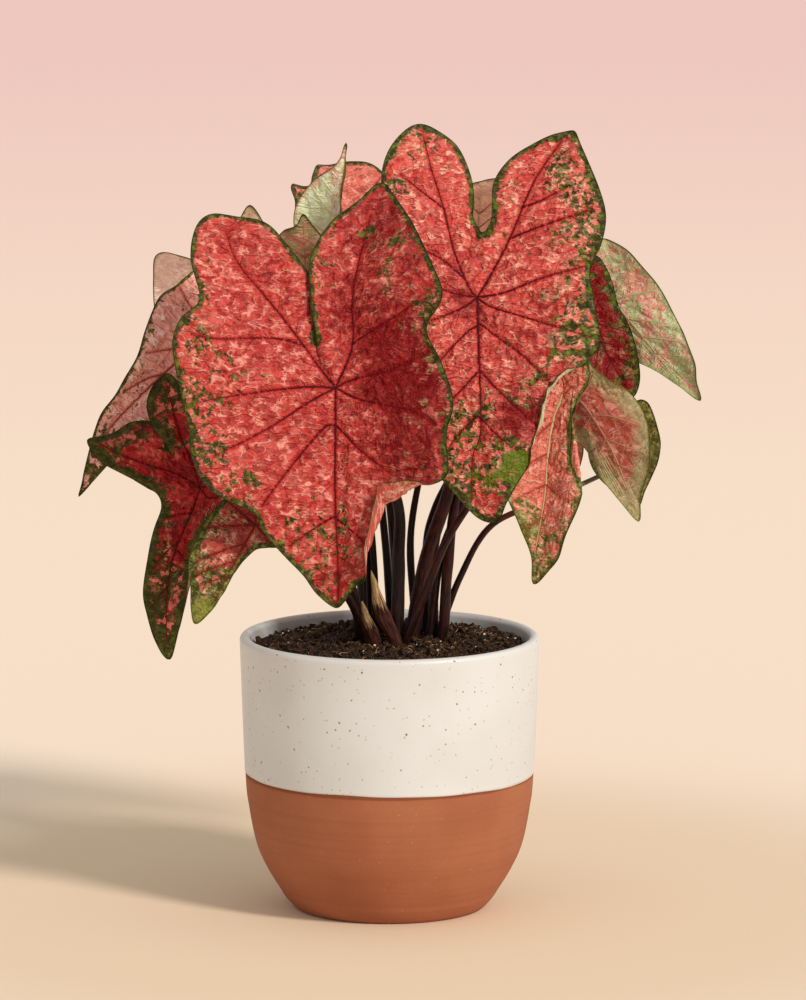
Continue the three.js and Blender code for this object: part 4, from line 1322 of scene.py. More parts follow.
def vein_tubes(parts, sheet, middle, up, lines):
    """Adds a rib along each vein, low on the upper face and standing out on the underside. Gives
    the tone of its points: how far along they are, and whether they are on the midrib."""
    lift = lifter(sheet, middle, up)
    taken = [0.0] * RIB_ROWS
    total = sum(len(points) for points, _, _ in lines) * 1.25 + 40 * RIB_ROWS
    tones = []
    for number, (points, start, end) in enumerate(lines):
        places, tops = lift(points)
        across = unit(np.cross(tops, np.gradient(places, axis=0)))
        part = np.linspace(0, 1, len(points))[:, None]
        width = start + (end - start) * part**0.8
        above, below = (BLADE / 2 + least + part_of_width * width
                        for least, part_of_width in (RIB_ABOVE, RIB_BELOW))
        rings = []
        for side in range(VEIN_SIDES):
            turn = side / VEIN_SIDES * 2 * math.pi
            height = math.sin(turn) * (above if math.sin(turn) > 0 else below)
            rings.append(places + across * width * math.cos(turn) + tops * height)
        quads, caps = tube_faces(len(points), VEIN_SIDES)
        row = int(np.argmin(taken))
        wide = len(points) / total * RIB_ROWS
        left, low = 0.005 + 0.99 * taken[row], RIB_LOW + row * RIB_BAND
        taken[row] += wide
        maps = strip_map(len(points), VEIN_SIDES, (left, low, 0.97 * wide, 0.9 * RIB_BAND))
        corner = np.tile(np.arange(VEIN_SIDES), len(points) - 1)
        slot = np.where(corner < VEIN_SIDES / 2, UPPER_RIB, UNDER_RIB)
        first = parts.size
        parts.add(np.stack(rings, 1).reshape(-1, 3), quads, maps, slot)
        cap_map = shared_map(left, low, left + 1e-4, low + 1e-4, len(caps))
        parts.join(caps + first, cap_map, UNDER_RIB)
        midrib = np.full(len(points), float(number == 0))
        tones.append(np.repeat(np.column_stack([part, midrib, part]), VEIN_SIDES, 0))
    return np.vstack(tones)


def edge_distance(sheet):
    """How far each point of the grid is from the margin, where lobes that overlap stay apart."""
    margin, past = sheet["margin"], sheet["past"][-sheet["spokes"]:]
    halfway = (margin + np.roll(margin, -1, 0)) / 2
    far = np.abs(past) > 0.3 * len(sheet["outline"])
    before, after = [nearest(sheet["flat"], np.vstack([margin[side], halfway[side]]))
                     for side in (far | (past <= 0), far | (past >= 0))]
    distance = np.where(sheet["past"] < 0, before, after)
    distance[-sheet["spokes"]:] = 0
    return distance


def gradient(flat, start, per_mm, bearing):
    """A value that is start at the stalk and grows by per_mm towards a bearing."""
    turn = math.radians(bearing)
    return start + per_mm * (flat[:, 0] * math.sin(turn) + flat[:, 1] * math.cos(turn))


def spots(flat, patches):
    """The sum of soft round patches, each given as bearing, reach, radius and strength."""
    total = np.zeros(len(flat))
    for bearing, reach, radius, strength in patches:
        centre = polar([[bearing, reach]])[0]
        total += strength * np.exp(-((flat - centre) ** 2).sum(1) / radius**2)
    return total


def hump(distance, width):
    """0 on a line and 1 well away from it."""
    return 1 - np.exp(-((distance / width) ** 2))


def relief(leaf, sheet, seed, from_vein, from_any, from_edge):
    """How high the leaf's surface stands over its bent form: puffed between the veins, creased and
    ruffled. Gives that, and how much each point is on a crease."""
    x, y = sheet["flat"].T
    size = 0.5 + 0.5 * min(1, Reach(leaf["outline"]).at(0) / 100)
    calm = np.minimum(1, from_vein / 2.5) * np.minimum(1, from_edge / 3)
    puff = PUFF * size * hump(from_vein, PUFF_WIDTH)
    puff += TWIG_PUFF * PUFF * size * hump(from_any, TWIG_PUFF_WIDTH)
    shift = CREASE_BEND * ripples(y, x, seed + 40, *CREASE_BEND_WAVES)
    folds = np.abs(ripples(x + shift, y + shift, seed, *CREASE_WAVES))
    folds = np.clip(1 - 1.5 * folds, -0.6, 1)
    where = sheet["where"]
    waves = np.sin(where * 2.1 + seed) + 0.7 * np.sin(where * 3.7 + 2 * seed)
    ruffle = RUFFLE * size * sheet["share"] ** 7 * waves
    lift = puff * np.minimum(1, from_edge / 6) + CRINKLE * size * folds * calm + ruffle
    return lift, np.clip(folds, 0, 1) * calm


def add_blade(parts, sheet, middle, up, from_edge):
    """The two faces of a blade, thinner at its margin, and the narrow band between them."""
    flat, faces, spokes = sheet["flat"], sheet["faces"], sheet["spokes"]
    count = len(flat)
    thin = BLADE / 2 * (0.45 + 0.55 * np.minimum(1, from_edge / 1.5))[:, None]
    parts.add(middle + up * thin, faces, face_map(flat, faces, UPPER_MAP), UPPER)
    turned = faces[:, ::-1]
    parts.add(middle - up * thin, turned, face_map(flat, turned, UNDER_MAP), UNDER)
    corner = np.arange(spokes)
    here, following = count - spokes + corner, count - spokes + (corner + 1) % spokes
    rim = np.stack([here, following, count + following, count + here], 1)
    u = corner / spokes
    step = 0.98 / spokes
    rim_u = 0.01 + 0.98 * np.stack([u, u, u, u], 1) + np.array([0, step, step, 0])
    rim_v = np.broadcast_to(np.repeat([MARGIN_LOW, MARGIN_TOP], 2), rim_u.shape)
    parts.join(rim[:, ::-1], np.stack([rim_u, rim_v], 2)[:, ::-1], EDGE, smooth=False)


def leaf_piece(name, leaf, seed):
    """One leaf: a thin closed blade, quilted between its veins, with ribs along them."""
    look = LOOKS[name]
    sheet = leaf_sheet(leaf)
    flat, faces = sheet["flat"], sheet["faces"]
    lines = vein_lines(name, leaf)
    mains = np.vstack([points for points, width, _ in lines if width > TWIG_WIDTHS[0]])
    from_vein = nearest(flat, mains)
    from_any = nearest(flat, np.vstack([points for points, _, _ in lines]))
    from_edge = edge_distance(sheet)

    middle = bend_leaf(leaf, *flat.T, sheet["share"], sheet["past"])
    lift, creased = relief(leaf, sheet, seed, from_vein, from_any, from_edge)
    middle = middle + normals_of(middle, faces) * lift[:, None]
    up = normals_of(middle, faces)
    parts = MeshParts()
    add_blade(parts, sheet, middle, up, from_edge)
    along = vein_tubes(parts, sheet, middle, up, lines)
    parts.points = [placed(leaf, points) for points in parts.points]

    palette = PALETTES[leaf["colour"]] | look.get("palette", {})
    piece = parts.build(name + "_blade", [
        upper_face(name + "_upper", palette, look),
        under_face(name + "_under", palette, look),
        vein_skin(name + "_veins", palette["vein"], palette["halo_and_shade"], palette.get("midrib")),
        vein_skin(name + "_ribs", palette["rib"], palette["under"]),
        margin_skin(name + "_margin", palette["rim"]),
    ])

    # What the materials read: each leaf's own part of the noise, its distances and how green it
    # is, and how bright, creased and blushed
    tone, blush = [gradient(flat, *look.get(key, (0.5, 0, 0))) for key in ("tone", "blush")]
    density = look["specks"] + spots(flat, look["patches"])
    tone -= spots(flat, look.get("reds", []))
    rest = np.zeros_like(along)
    for key, columns, others in (
        ("flat", [flat, np.full(len(flat), 37.0 * seed)], rest),
        ("field", [from_vein, from_edge, density], rest),
        ("tone", [tone, creased, blush], along),
    ):
        values = np.column_stack(columns)
        attribute(piece, key, np.vstack([values, values, others]))
    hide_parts(name)
    "leaf_" + leaf["colour"]
    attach(piece, "root")


def side_samples():
    """The pot's outside as [radius, height], on the same smooth curve as the part's."""
    points = np.asarray(POT_SIDE, float)
    ends = np.vstack([points[:1], points, points[-1:]])
    part = np.linspace(0, 1, 40, endpoint=False)[:, None]
    pieces = [catmull(*ends[index:index + 4], part) for index in range(len(points) - 1)]
    return np.vstack([*pieces, points[-1:]])


SIDE = side_samples()
# How far the clay lies under the glaze's outer face: the coat and a little more
COAT = GLAZE + 0.3
LIP = WALL / 2
# The whole baked map, as (left, low, wide, high)
WHOLE_MAP = (0.01, 0.01, 0.98, 0.98)


def radius_at(height):
    return np.interp(height, SIDE[:, 1], SIDE[:, 0])


def wall(low, high, step, inset):
    """Profile points up the side between two heights."""
    height = np.linspace(low, high, max(2, round(abs(high - low) / step) + 1))
    return np.stack([radius_at(height) - inset, height], 1)


def lip(outer, inner, top, steps):
    """Profile points of a half-round lip from the outside to the inside."""
    radius = (outer - inner) / 2
    turn = np.linspace(0, math.pi, steps + 1)[1:-1]
    middle = np.array([outer - radius, top - radius])
    return middle + radius * circle(turn)


def inside(top, floor, thickness):
    """Profile points down the inside and across the floor, with a quarter round between."""
    down = wall(floor + CORNER, top, 6, thickness)[::-1]
    middle = down[-1, 0] - CORNER
    turn = np.linspace(0, math.pi / 2, 9)[1:]
    corner = np.stack([middle + CORNER * np.cos(turn), floor + CORNER * (1 - np.sin(turn))], 1)
    return np.vstack([down, corner, [[4, floor]]])


def lathe_rings(profile, sides=POT_TURN):
    """The profile's points at every step of the turn, as rows x sides x 3."""
    rings = profile[:, None, 0, None] * circle(turns(sides))[None]
    return np.dstack([rings, np.broadcast_to(profile[:, None, 1], rings.shape[:2])])


def add_rings(parts, rings, box, slot=0):
    """Adds rows of points as a closed skin with a flat cap on the first and last row."""
    rows, sides = rings.shape[:2]
    quads, caps = tube_faces(rows, sides)
    first = parts.size
    left, low, wide, high = box
    maps = strip_map(rows, sides, (left, low, wide * 0.9, high))
    parts.add(rings.reshape(-1, 3), quads, maps, slot)
    cap_map = shared_map(left + wide * 0.92, low, left + wide * 0.97, low + 0.05 * high, len(caps))
    parts.join(caps + first, cap_map, slot)


def clay_material():
    """Bare fired clay: even and warm, with fine grains, turning marks and a painted shadow under the
    glaze's lower edge.
    """
    shader = Shader("clay")
    place = shader.place()
    height = place.split()[2]
    grain = place.noise(0.9, 3)
    rings = place.scaled(0.006, 0.006, 1).noise(3.4, 3)
    colour = place.noise(40).between(0.3, 0.7).mix(paint(160, 95, 64), paint(170, 104, 72))
    colour = (rings.between(0.46, 0.66) * 0.22).mix(colour, paint(146, 84, 56))
    colour = (grain.between(0.56, 0.7) * 0.28).mix(colour, paint(130, 74, 48))
    colour = (place.dots(6.5, 0.03, 0.06) * 0.6).mix(colour, paint(214, 160, 128))
    # Painted shadow: a dark brown band just under the glaze's lower edge.
    painted_edge_shadow = (height + place.noise(9, 3).push(1.0)).between(GLAZE_LINE - 2.0, GLAZE_LINE - 1.2)
    colour = (painted_edge_shadow * 0.62).mix(colour, paint(112, 52, 34))
    return shader.finish(base_color=colour, roughness=0.72 + grain * 0.2,
                         specular_ior_level=0.25, normal=(rings * 0.9 + grain * 0.5).bump(0.14))


def glaze_material():
    """Off-white satin glaze with brown specks, thinner and warmer at its lower edge and lip."""
    shader = Shader("cream_glaze")
    place = shader.place()
    height = place.split()[2]
    fine = place.noise(1.2, 3)
    colour = place.noise(60).between(0.3, 0.7).mix(paint(210, 209, 205), paint(216, 217, 214))
    colour = (fine.between(0.6, 0.74) * 0.16).mix(colour, paint(190, 178, 160))
    jitter = place.warped(3, 2.2)
    colour = (jitter.dots(4.2, 0.09, 0.14) * 0.55).mix(colour, paint(160, 124, 92))
    brown = jitter.scaled(1, 1, 0.9).dots(6.4, 0.07, 0.10)
    colour = (brown * 0.85).mix(colour, paint(122, 78, 50))
    thin = height + place.noise(6, 3).push(1.6)
    edge = (1 - thin.between(GLAZE_LINE - 0.2, GLAZE_LINE + 1.0)) * 0.4
    lip_top = thin.between(POT_HEIGHT - 1.1, POT_HEIGHT + 0.6) * 0.16
    colour = edge.larger(lip_top).mix(colour, paint(190, 160, 128))
    ripple = place.noise(12) + place.noise(2.2) * 0.2
    return shader.finish(base_color=colour, roughness=0.34 + fine * 0.16, specular_ior_level=0.4,
                         coat_weight=0.1, coat_roughness=0.3, normal=ripple.bump(0.14))


def glaze_edge():
    """The height of the glaze's lower edge round the pot: level, with a small wander."""
    turn = turns(POT_TURN)
    waves = ((0.28, 3, 0.4), (0.2, 7, 2), (0.12, 13, 1))
    wander = sum(height * np.sin(count * turn + phase) for height, count, phase in waves)
    return GLAZE_LINE + wander - 0.45 * np.cos(turn)


def build_clay():
    """The clay body, set in under the glaze from just above the glaze's lower edge."""
    top = POT_HEIGHT - LIP
    outer = radius_at(top)
    profile = np.vstack([
        [[3, 0], [30, 0]], wall(0, 8, 0.8, 0.0), wall(9, GLAZE_LINE + 2.2, 2.4, 0.22),
        wall(GLAZE_LINE + 3, top, 8, COAT),
        lip(outer - COAT, outer - WALL + COAT, POT_HEIGHT - COAT, 8),
        inside(top, FLOOR, WALL - COAT),
    ])
    parts = MeshParts()
    add_rings(parts, lathe_rings(profile), WHOLE_MAP)
    return parts.build("clay_pot", [clay_material()])


def build_coat():
    """The glaze, a thin closed shell over the pot's upper half, its lip and its inside."""
    top = POT_HEIGHT - LIP
    outer = radius_at(top)
    lining = inside(top, FLOOR + 0.3, WALL - GLAZE)[::-1]
    back_lip = lip(outer - GLAZE, outer - WALL + GLAZE, POT_HEIGHT - GLAZE, 8)[::-1]
    behind = wall(GLAZE_LINE + 4, top, 8, GLAZE)[::-1]
    thin = wall(GLAZE_LINE + 1.2, GLAZE_LINE + 3, 0.9, 0.12)[::-1]
    height = np.concatenate([[0, 0.25, 0.6, 1.1, 1.8], np.linspace(3, top - GLAZE_LINE, 30)])
    bulge = 0.16 * np.minimum(1, height / 0.6) ** 0.5
    bulge = bulge + 0.10 * np.exp(-((height - 1.3) / 1.2) ** 2)
    outside = np.stack([radius_at(GLAZE_LINE + height) - 0.14 + bulge, GLAZE_LINE + height], 1)
    over = lip(outside[-1, 0], outer - WALL, POT_HEIGHT, 14)
    inner = inside(top, FLOOR + COAT, WALL)
    profile = np.vstack([lining, back_lip, behind, thin, outside, over, inner])
    rings = lathe_rings(profile)
    near = np.exp(-(((rings[:, :, 2] - GLAZE_LINE) / 5) ** 2)) * (profile[:, 0] > 60)[:, None]
    rings[:, :, 2] += near * (glaze_edge() - GLAZE_LINE)
    parts = MeshParts()
    add_rings(parts, rings, WHOLE_MAP)
    return parts.build("glaze_coat", [glaze_material()])


def build_pot():
    """The pot's two pieces."""
    pot = build_clay()
    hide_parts("pot")
    coat = build_coat()
    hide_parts("pot_glaze")
    for piece in (pot, coat):
        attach(piece, "root")


def soil_height(x, y, rim):
    """The height of the soil's mounded top, with the part's own lumps."""
    inward = 1 - np.hypot(x, y) / rim
    lumps = np.sin(0.21 * x + 1.3) * np.cos(0.17 * y + 0.4) + np.sin(0.43 * y + 0.31 * x)
    mound = SOIL_MOUND * (1 - (1 - inward) ** 2)
    return SOIL_EDGE + mound + SOIL_BUMP * lumps * np.minimum(1, 4 * inward)


def soil_material():
    """Dark peaty crumbs, painted darker in their hollows as shade, with rusty fibres and paler
    flecks where the fine grain rises.
    """
    shader = Shader("potting_soil")
    place = shader.place()
    crumb = place.noise(3.2, 4)
    fine = place.noise(0.9, 3)
    # Painted shade: the colour is darkest where the crumb height, and so the bump, is low.
    colour = crumb.between(0.38, 0.62).mix(paint(10, 6, 3), paint(56, 38, 24))
    colour = (fine.between(0.54, 0.66) * 0.6).mix(colour, paint(110, 80, 52))
    threads = place.scaled(1, 0.16, 1).noise(0.8)
    colour = (threads.between(0.60, 0.70) * 0.5).mix(colour, paint(120, 78, 42))
    return shader.finish(base_color=colour, roughness=0.82 + fine * 0.15, specular_ior_level=0.2,
                         normal=(crumb + fine * 0.6).bump(0.9))


def perlite_material():
    """Puffed white grains, a little dusty with soil."""
    shader = Shader("perlite")
    place = shader.place()
    dust = place.noise(1.2, 4)
    colour = dust.between(0.46, 0.68).mix(paint(232, 226, 214), paint(150, 128, 102))
    return shader.finish(base_color=colour, roughness=0.75 + dust * 0.2, specular_ior_level=0.25,
                         normal=place.noise(0.5, 3).bump(0.25))


def fibre_material():
    """Dry brown threads, streaked along their length."""
    shader = Shader("root_fibre")
    streak = shader.place().noise(1.6, 4)
    colour = streak.between(0.35, 0.65).mix(paint(66, 42, 24), paint(186, 148, 104))
    return shader.finish(base_color=colour, roughness=0.7 + streak * 0.2, specular_ior_level=0.2,
                         normal=streak.bump(0.15))


def packed_map(count):
    """A place of its own on the baked map for each of count triangles, two to a square."""
    side = math.ceil(math.sqrt(count / 2))
    cell = np.arange(count) // 2
    low = np.stack([cell % side, cell // side], 1)[:, None, :]
    corners = np.array([
        [[0.06, 0.06], [0.84, 0.06], [0.06, 0.84]], [[0.94, 0.94], [0.16, 0.94], [0.94, 0.16]],
    ])
    return (low + corners[np.arange(count) % 2]) / side


def bit_shape(draw, subdivisions):
    """The points and faces of one rough lump, about 1 across, with seven sides pressed flat."""
    mesh = bmesh.new()
    bmesh.ops.create_icosphere(mesh, subdivisions=subdivisions, radius=0.5)
    points = np.array([vertex.co[:] for vertex in mesh.verts])
    faces = np.array([[vertex.index for vertex in face.verts] for face in mesh.faces])
    mesh.free()
    for _ in range(7):
        way = draw.normal(size=3)
        way /= np.linalg.norm(way)
        over = np.maximum(0, points @ way - draw.uniform(0.24, 0.42))
        points -= over[:, None] * way * 0.9
    return points * draw.uniform(0.72, 1.22, (len(points), 1)), faces


def strewn(draw, within):
    """A place drawn evenly from a disc of this radius."""
    turn, reach = draw.uniform(0, 2 * math.pi), within * math.sqrt(draw.uniform(0, 1))
    return reach * math.cos(turn), reach * math.sin(turn)


def scattered_bits(name, material, rim, count, low, high, seed, lift=0):
    """Lumps between low and high millimetres across, strewn over the soil and half sunk in it."""
    draw = np.random.default_rng(seed)
    fine, coarse = ([bit_shape(draw, level) for _ in range(BIT_SHAPES)] for level in (2, 1))
    all_points, all_faces, size = [], [], 0
    for _ in range(count):
        kind = draw.integers(BIT_SHAPES)
        x, y = strewn(draw, rim - 1.5)
        across = low + (high - low) * draw.uniform(0, 1) ** 2.6
        points, faces = (fine if across > SMALL_BIT else coarse)[kind]
        spin = np.array(Euler(draw.uniform(0, 6, 3)).to_matrix())
        stretched = points * draw.uniform(0.45, 1.15, 3) * across
        place = [x, y, soil_height(x, y, rim) + 0.16 * across + lift]
        all_points.append(stretched @ spin.T + place)
        all_faces.append(faces + size)
        size += len(points)
    faces = np.vstack(all_faces)
    parts = MeshParts()
    parts.add(np.vstack(all_points), faces, packed_map(len(faces)), 0)
    return parts.build(name, [material])


def fibres(name, material, rim):
    """Short curved threads of root and bark that lie on the soil, ten to a row of the map."""
    draw = np.random.default_rng(FIBRE_SEED)
    parts = MeshParts()
    rows = math.ceil(FIBRES / 10)
    for index in range(FIBRES):
        x, y = strewn(draw, rim - 8)
        heading, length = draw.uniform(0, 2 * math.pi), draw.uniform(3, 13)
        curve = draw.uniform(-0.26, 0.26)
        steps = np.linspace(0, length, FIBRE_STEPS)
        bearing = heading + curve * steps
        x = x + np.cumsum(np.cos(bearing)) * length / FIBRE_STEPS
        y = y + np.cumsum(np.sin(bearing)) * length / FIBRE_STEPS
        inward = np.minimum(1, (rim - 1) / np.maximum(np.hypot(x, y), 1e-6))
        x, y = x * inward, y * inward
        arch = draw.uniform(0, 1.8) * np.sin(steps / length * math.pi)
        places = np.stack([x, y, soil_height(x, y, rim) + 0.7 + arch], 1)
        radius = draw.uniform(0.08, 0.26) * np.linspace(1, 0.5, FIBRE_STEPS)
        row, column = divmod(index, 10)
        box = (column / 10 + 0.005, row / rows + 0.05 / rows, 0.085, 0.9 / rows)
        add_rings(parts, tube_rings(places, radius, FIBRE_SIDES), box)
    return parts.build(name, [material])


def build_soil():
    """The soil that fills the pot, with a crumbly top, and what lies on it."""
    side = inside(SOIL_EDGE, FLOOR + COAT + 0.3, WALL + 0.6)[::-1]
    rim = side[-1, 0]
    tops = []
    for radius in np.linspace(rim, 1.2, 62)[1:]:
        x, y = radius * circle(turns(POT_TURN)).T
        crumbs = 0.8 * ripples(x, y, *CRUMB_WAVES) + 1.1 * ripples(x, y, *LUMP_WAVES)
        crumbs = np.clip(crumbs * min(1, (rim - radius) / 6), -1.6, 2.6)
        tops.append(np.stack([x, y, soil_height(x, y, rim) + crumbs], 1))
    parts = MeshParts()
    add_rings(parts, np.vstack([lathe_rings(side), tops]), WHOLE_MAP)
    soil = soil_material()
    bed = parts.build("soil_bed", [soil])
    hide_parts("soil")
    extras = [
        scattered_bits("soil_crumbs", soil, rim, **CRUMBS),
        scattered_bits("soil_perlite", perlite_material(), rim, **PERLITE),
        fibres("soil_fibres", fibre_material(), rim),
    ]
    for piece in [bed, *extras]:
        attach(piece, "root")


def tube_rings(places, radius, sides):
    """Rings of points round a path, with a frame that is carried along without twisting."""
    along = unit(np.gradient(places, axis=0))
    helper = np.array([1.0, 0, 0]) if abs(along[0, 0]) < 0.8 else np.array([0, 1.0, 0])
    first = np.cross(along[0], helper)
    first /= np.linalg.norm(first)
    turn = turns(sides)
    rings = []
    for place, size, ahead in zip(places, radius, along):
        first = first - ahead * (first @ ahead)
        first /= np.linalg.norm(first)
        second = np.cross(ahead, first)
        around = np.outer(np.cos(turn), first) + np.outer(np.sin(turn), second)
        rings.append(place + size * around)
    return np.stack(rings)


def centripetal(places, count):
    """Evenly spaced points on a centripetal Catmull-Rom curve through the places."""
    places = np.asarray(places, float)
    ends = extended(places)
    dense = []
    for index in range(len(places) - 1):
        p0, p1, p2, p3 = ends[index:index + 4]
        t1 = math.sqrt(np.linalg.norm(p1 - p0))
        t2 = t1 + math.sqrt(np.linalg.norm(p2 - p1))
        t3 = t2 + math.sqrt(np.linalg.norm(p3 - p2))
        t = np.linspace(t1, t2, 30, endpoint=False)[:, None]
        a1 = (t1 - t) / t1 * p0 + t / t1 * p1
        a2 = (t2 - t) / (t2 - t1) * p1 + (t - t1) / (t2 - t1) * p2
        a3 = (t3 - t) / (t3 - t2) * p2 + (t - t2) / (t3 - t2) * p3
        b1 = (t2 - t) / t2 * a1 + t / t2 * a2
        b2 = (t3 - t) / (t3 - t1) * a2 + (t - t1) / (t3 - t1) * a3
        dense.append((t2 - t) / (t2 - t1) * b1 + (t - t1) / (t2 - t1) * b2)
    return respaced(np.vstack([*dense, places[-1:]]), count=count)


def root_places(foot):
    """Where a stalk or sheath starts in the tuber and leaves the soil."""
    x, y = foot
    return [[ROOT_SHARE * x, ROOT_SHARE * y, STALK_FOOT], [x, y, SOIL_TOP]]


def stalk_path(name, count):
    """The way of a stalk from the tuber to the underside of its blade."""
    leaf, stalk = LEAVES[name], STALKS[name]
    before = placed(leaf, np.array([[0, 0, -stalk["turn"]]]))[0]
    before[2] -= STALK_SAG * stalk["turn"]
    end = placed(leaf, np.array([[0, 0, -BLADE / 2 + 0.1]]))[0]
    return centripetal([*root_places(stalk["foot"]), *stalk["via"], before, end], count)


def sheath_rings(path, radius, sides):
    """Rings for a dry sheath: round in the soil, then a flat, hollowed flap with a point."""
    wide, narrow = radius
    share = np.linspace(0, 1, len(path))[:, None]
    turn = turns(sides)
    opened = np.clip((share - 0.25) / 0.3, 0, 1)
    taper = 1 - np.clip((share - 0.62) / 0.38, 0, 1) ** 1.6
    half = wide * (1 + 0.3 * opened) * taper + 0.25 * narrow
    deep = half * (1 - opened) + opened * np.minimum(0.34, 0.6 * half)
    frayed = 1 + 0.07 * np.sin(19 * share + 2) + 0.05 * np.sin(43 * share)
    across, depth = half * np.cos(turn) * frayed, deep * np.sin(turn)
    depth = depth - opened * 0.30 * across**2 / np.maximum(half, 0.5)
    along = unit(np.gradient(path, axis=0))
    side = unit(np.cross(along, [0, -1.0, 0]))
    front = np.cross(side, along)
    return path[:, None] + across[:, :, None] * side[:, None] + depth[:, :, None] * front[:, None]


def stalk_material():
    """Smooth dark skin, almost black at the foot, with long reddish and greenish streaks."""
    shader = Shader("stalk_skin")
    flat = shader.attribute("flat")
    along = flat.split()[2]
    redder = shader.attribute("tone", "Fac")
    streak = flat.scaled(1, 1, 0.06).noise(0.55, 3)
    colour = streak.between(0.42, 0.72).mix(paint(9, 5, 3), paint(40, 20, 12))
    red = redder * (streak + flat.noise(9, 3) * 0.5).between(0.5, 0.95)
    colour = red.mix(colour, paint(104, 36, 24))
    colour = redder.between(-0.2, -0.8).mix(colour, paint(116, 114, 84))
    ticks = flat.scaled(1, 1, 0.28).dots(2.4, 0.05, 0.10)
    colour = (ticks * 0.3).mix(colour, paint(112, 84, 56))
    colour = ((1 - along.between(20, 42)) * 0.5).mix(colour, paint(30, 18, 12))
    return shader.finish(base_color=colour, roughness=0.26 + streak * 0.2,
                         specular_ior_level=0.2, normal=streak.bump(0.12))


def sheath_material():
    """A split sheath: dark and reddish from the soil up, then dry, papery and tan."""
    shader = Shader("dry_sheath")
    flat = shader.attribute("flat")
    ribs = flat.scaled(1, 1, 0.05).noise(0.4, 3)
    cloud = flat.noise(5, 3)
    colour = ribs.between(0.38, 0.64).mix(paint(120, 86, 50), paint(192, 162, 114))
    colour = (cloud.between(0.5, 0.66) * 0.6).mix(colour, paint(92, 58, 32))
    grown = flat.split()[2] + ribs.push(26) + cloud.push(14)
    fresh = ribs.between(0.4, 0.6).mix(paint(30, 14, 9), paint(86, 40, 26))
    colour = (1 - grown.between(52, 64)).mix(colour, fresh)
    return shader.finish(base_color=colour, roughness=0.7 + ribs * 0.2,
                         specular_ior_level=0.2, normal=ribs.bump(0.2))


def tuber_material():
    """The brown, ringed skin of the tuber in the soil."""
    shader = Shader("tuber_skin")
    rings = shader.place().scaled(0.1, 0.1, 1).noise(2.2, 3)
    colour = rings.between(0.4, 0.62).mix(paint(70, 44, 28), paint(122, 86, 56))
    return shader.finish(base_color=colour, roughness=0.75 + rings * 0.15,
                         specular_ior_level=0.2, normal=rings.bump(0.6))


def stalk_radius(name, share, seed):
    """The radius along a stalk, a little uneven and flared where it meets its blade."""
    foot, end = STALKS[name]["radius"]
    radius = foot + (end - foot) * share
    radius = radius + 0.5 * end * np.exp(-(((1 - share) / 0.03) ** 2))
    return radius * (1 + 0.03 * np.sin(share * 23 + seed) + 0.02 * np.sin(share * 61 + 2 * seed))


def stalk_tone(name, share):
    """How red a stalk is along its way, below 0 where it turns grey-green."""
    tone = STALK_RED.get(name, PLAIN_STALK_RED) * np.minimum(1, share * 1.6)
    if name in GREEN_TIPS:
        tone = tone - 1.2 * np.clip((share - 0.60) / 0.1, 0, 1)
    return tone


def tuber_rings(rows, sides):
    """Rings of points over the tuber, faintly stepped."""
    climb = np.linspace(-0.5, 0.5, rows + 2)[1:-1] * math.pi
    wide, _, high = TUBER["radius"]
    profile = np.stack([np.cos(climb) * wide, np.sin(climb) * high], 1)
    profile[:, 0] *= 1 + 0.012 * np.sin(np.arange(rows) * 2.1)
    return lathe_rings(profile, sides) + np.array(TUBER["centre"], float)


def build_stalks():
    """All the stalks with the tuber that they grow from, and the dry sheaths at the crown."""
    parts = MeshParts()
    flats, tones = [], []
    band = 0.94 / (len(STALKS) + 5)

    def add(rings, row, high, slot, length, tone, seed):
        """A skin on its rows of the map, with its places along and around, and its tone."""
        rows, sides = rings.shape[:2]
        add_rings(parts, rings, (0.01, 0.01 + row * band, 0.98, high * band), slot)
        along = np.repeat(np.linspace(0, length, rows), sides)
        around = np.tile(circle(turns(sides)) * 2.4, (rows, 1))
        flats.append(np.column_stack([around + 11 * seed, along]))
        tones.append(np.repeat(np.broadcast_to(tone, rows), sides))

    rows, sides = STALK_GRID
    share = np.linspace(0, 1, rows)
    for index, name in enumerate(STALKS):
        rings = tube_rings(stalk_path(name, rows), stalk_radius(name, share, index), sides)
        add(rings, index, 0.9, 0, 6.0 * rows, stalk_tone(name, share), index)
    rows, sides = SHEATH_GRID
    for index, sheath in enumerate(SHEATHS):
        path = centripetal([*root_places(sheath["foot"]), *sheath["via"], sheath["end"]], rows)
        rings = sheath_rings(path, sheath["radius"], sides)
        add(rings, len(STALKS) + index, 0.9, 1, 3.0 * rows, 0.0, 50 + index)
    add(tuber_rings(*TUBER_GRID), len(STALKS) + 2.2, 2.6, 2, 40, 0.0, 90)

    materials = [stalk_material(), sheath_material(), tuber_material()]
    piece = parts.build("stalks_and_tuber", materials)
    attribute(piece, "flat", np.vstack(flats))
    attribute(piece, "tone", np.concatenate(tones))
    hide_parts("stalks")
    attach(piece, "root")


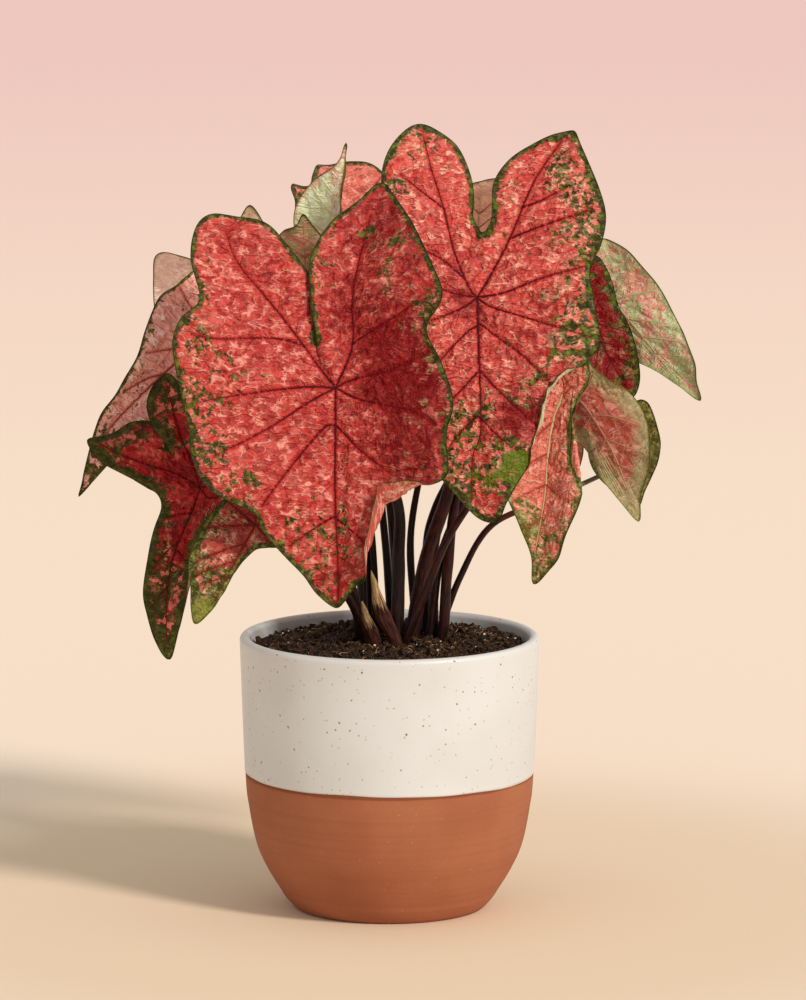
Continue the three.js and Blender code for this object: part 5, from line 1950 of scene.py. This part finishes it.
def floor_material():
    """Plain pale floor: a darker cream near the pot that is a broad painted shadow, paler cream
    further out, and a light rose far behind it.
    """
    shader = Shader("pale_floor")
    far = shader.place().length()
    # Painted shadow: the floor is a darker cream within about half a metre of the pot.
    colour = far.between(230, 480).mix(paint(*FLOOR_NEAR_SHADED), paint(*FLOOR_MIDDLE))
    colour = far.between(800, 5400).mix(colour, paint(*FLOOR_FAR))
    return shader.finish(base_color=colour, roughness=0.9, specular_ior_level=0.1)


def build_stage():
    """A floor, a sky of even soft light, and one broad warm light from the front right."""
    mesh = bpy.data.meshes.new("floor")
    points = FLOOR_RADIUS * circle(turns(FLOOR_CORNERS))
    points = np.column_stack([points, np.full(FLOOR_CORNERS, -FLOOR_DROP)])
    mesh.from_pydata(points.tolist(), [], [list(range(FLOOR_CORNERS))])
    mesh.materials.append(floor_material())
    shown("floor", mesh)

    world = bpy.data.worlds.new("studio")
    world.use_nodes = True
    background = world.node_tree.nodes["Background"]
    background.inputs["Color"].default_value = (*SKY_COLOUR, 1)
    background.inputs["Strength"].default_value = SKY_STRENGTH
    bpy.context.scene.world = world

    lamp = bpy.data.lights.new("key", "SUN")
    lamp.energy = KEY_STRENGTH
    lamp.angle = math.radians(KEY_SOFTNESS)
    lamp.color = KEY_COLOUR
    azimuth, height = (math.radians(value) for value in KEY_FROM)
    level = math.cos(height)
    towards = Vector((math.sin(azimuth) * level, -math.cos(azimuth) * level, math.sin(height)))
    shown("key", lamp).rotation_euler = towards.to_track_quat("Z", "Y").to_euler()


def build_camera():
    """Level with the leaves' middle and looking down a little, from 4 m away, with a long lens."""
    lens = bpy.data.cameras.new("camera")
    lens.lens = CAMERA_LENS
    lens.sensor_width = 36
    camera = shown("camera", lens)
    camera.location = CAMERA_PLACE
    camera.rotation_euler = (math.radians(90 - CAMERA_PITCH), 0, 0)
    bpy.context.scene.camera = camera
    bpy.context.scene.view_settings.view_transform = "Standard"


build_pot()
build_soil()
build_stalks()
for number, (leaf_name, leaf_form) in enumerate(LEAVES.items()):
    leaf_piece(leaf_name, leaf_form, number + 3)
build_stage()
build_camera()
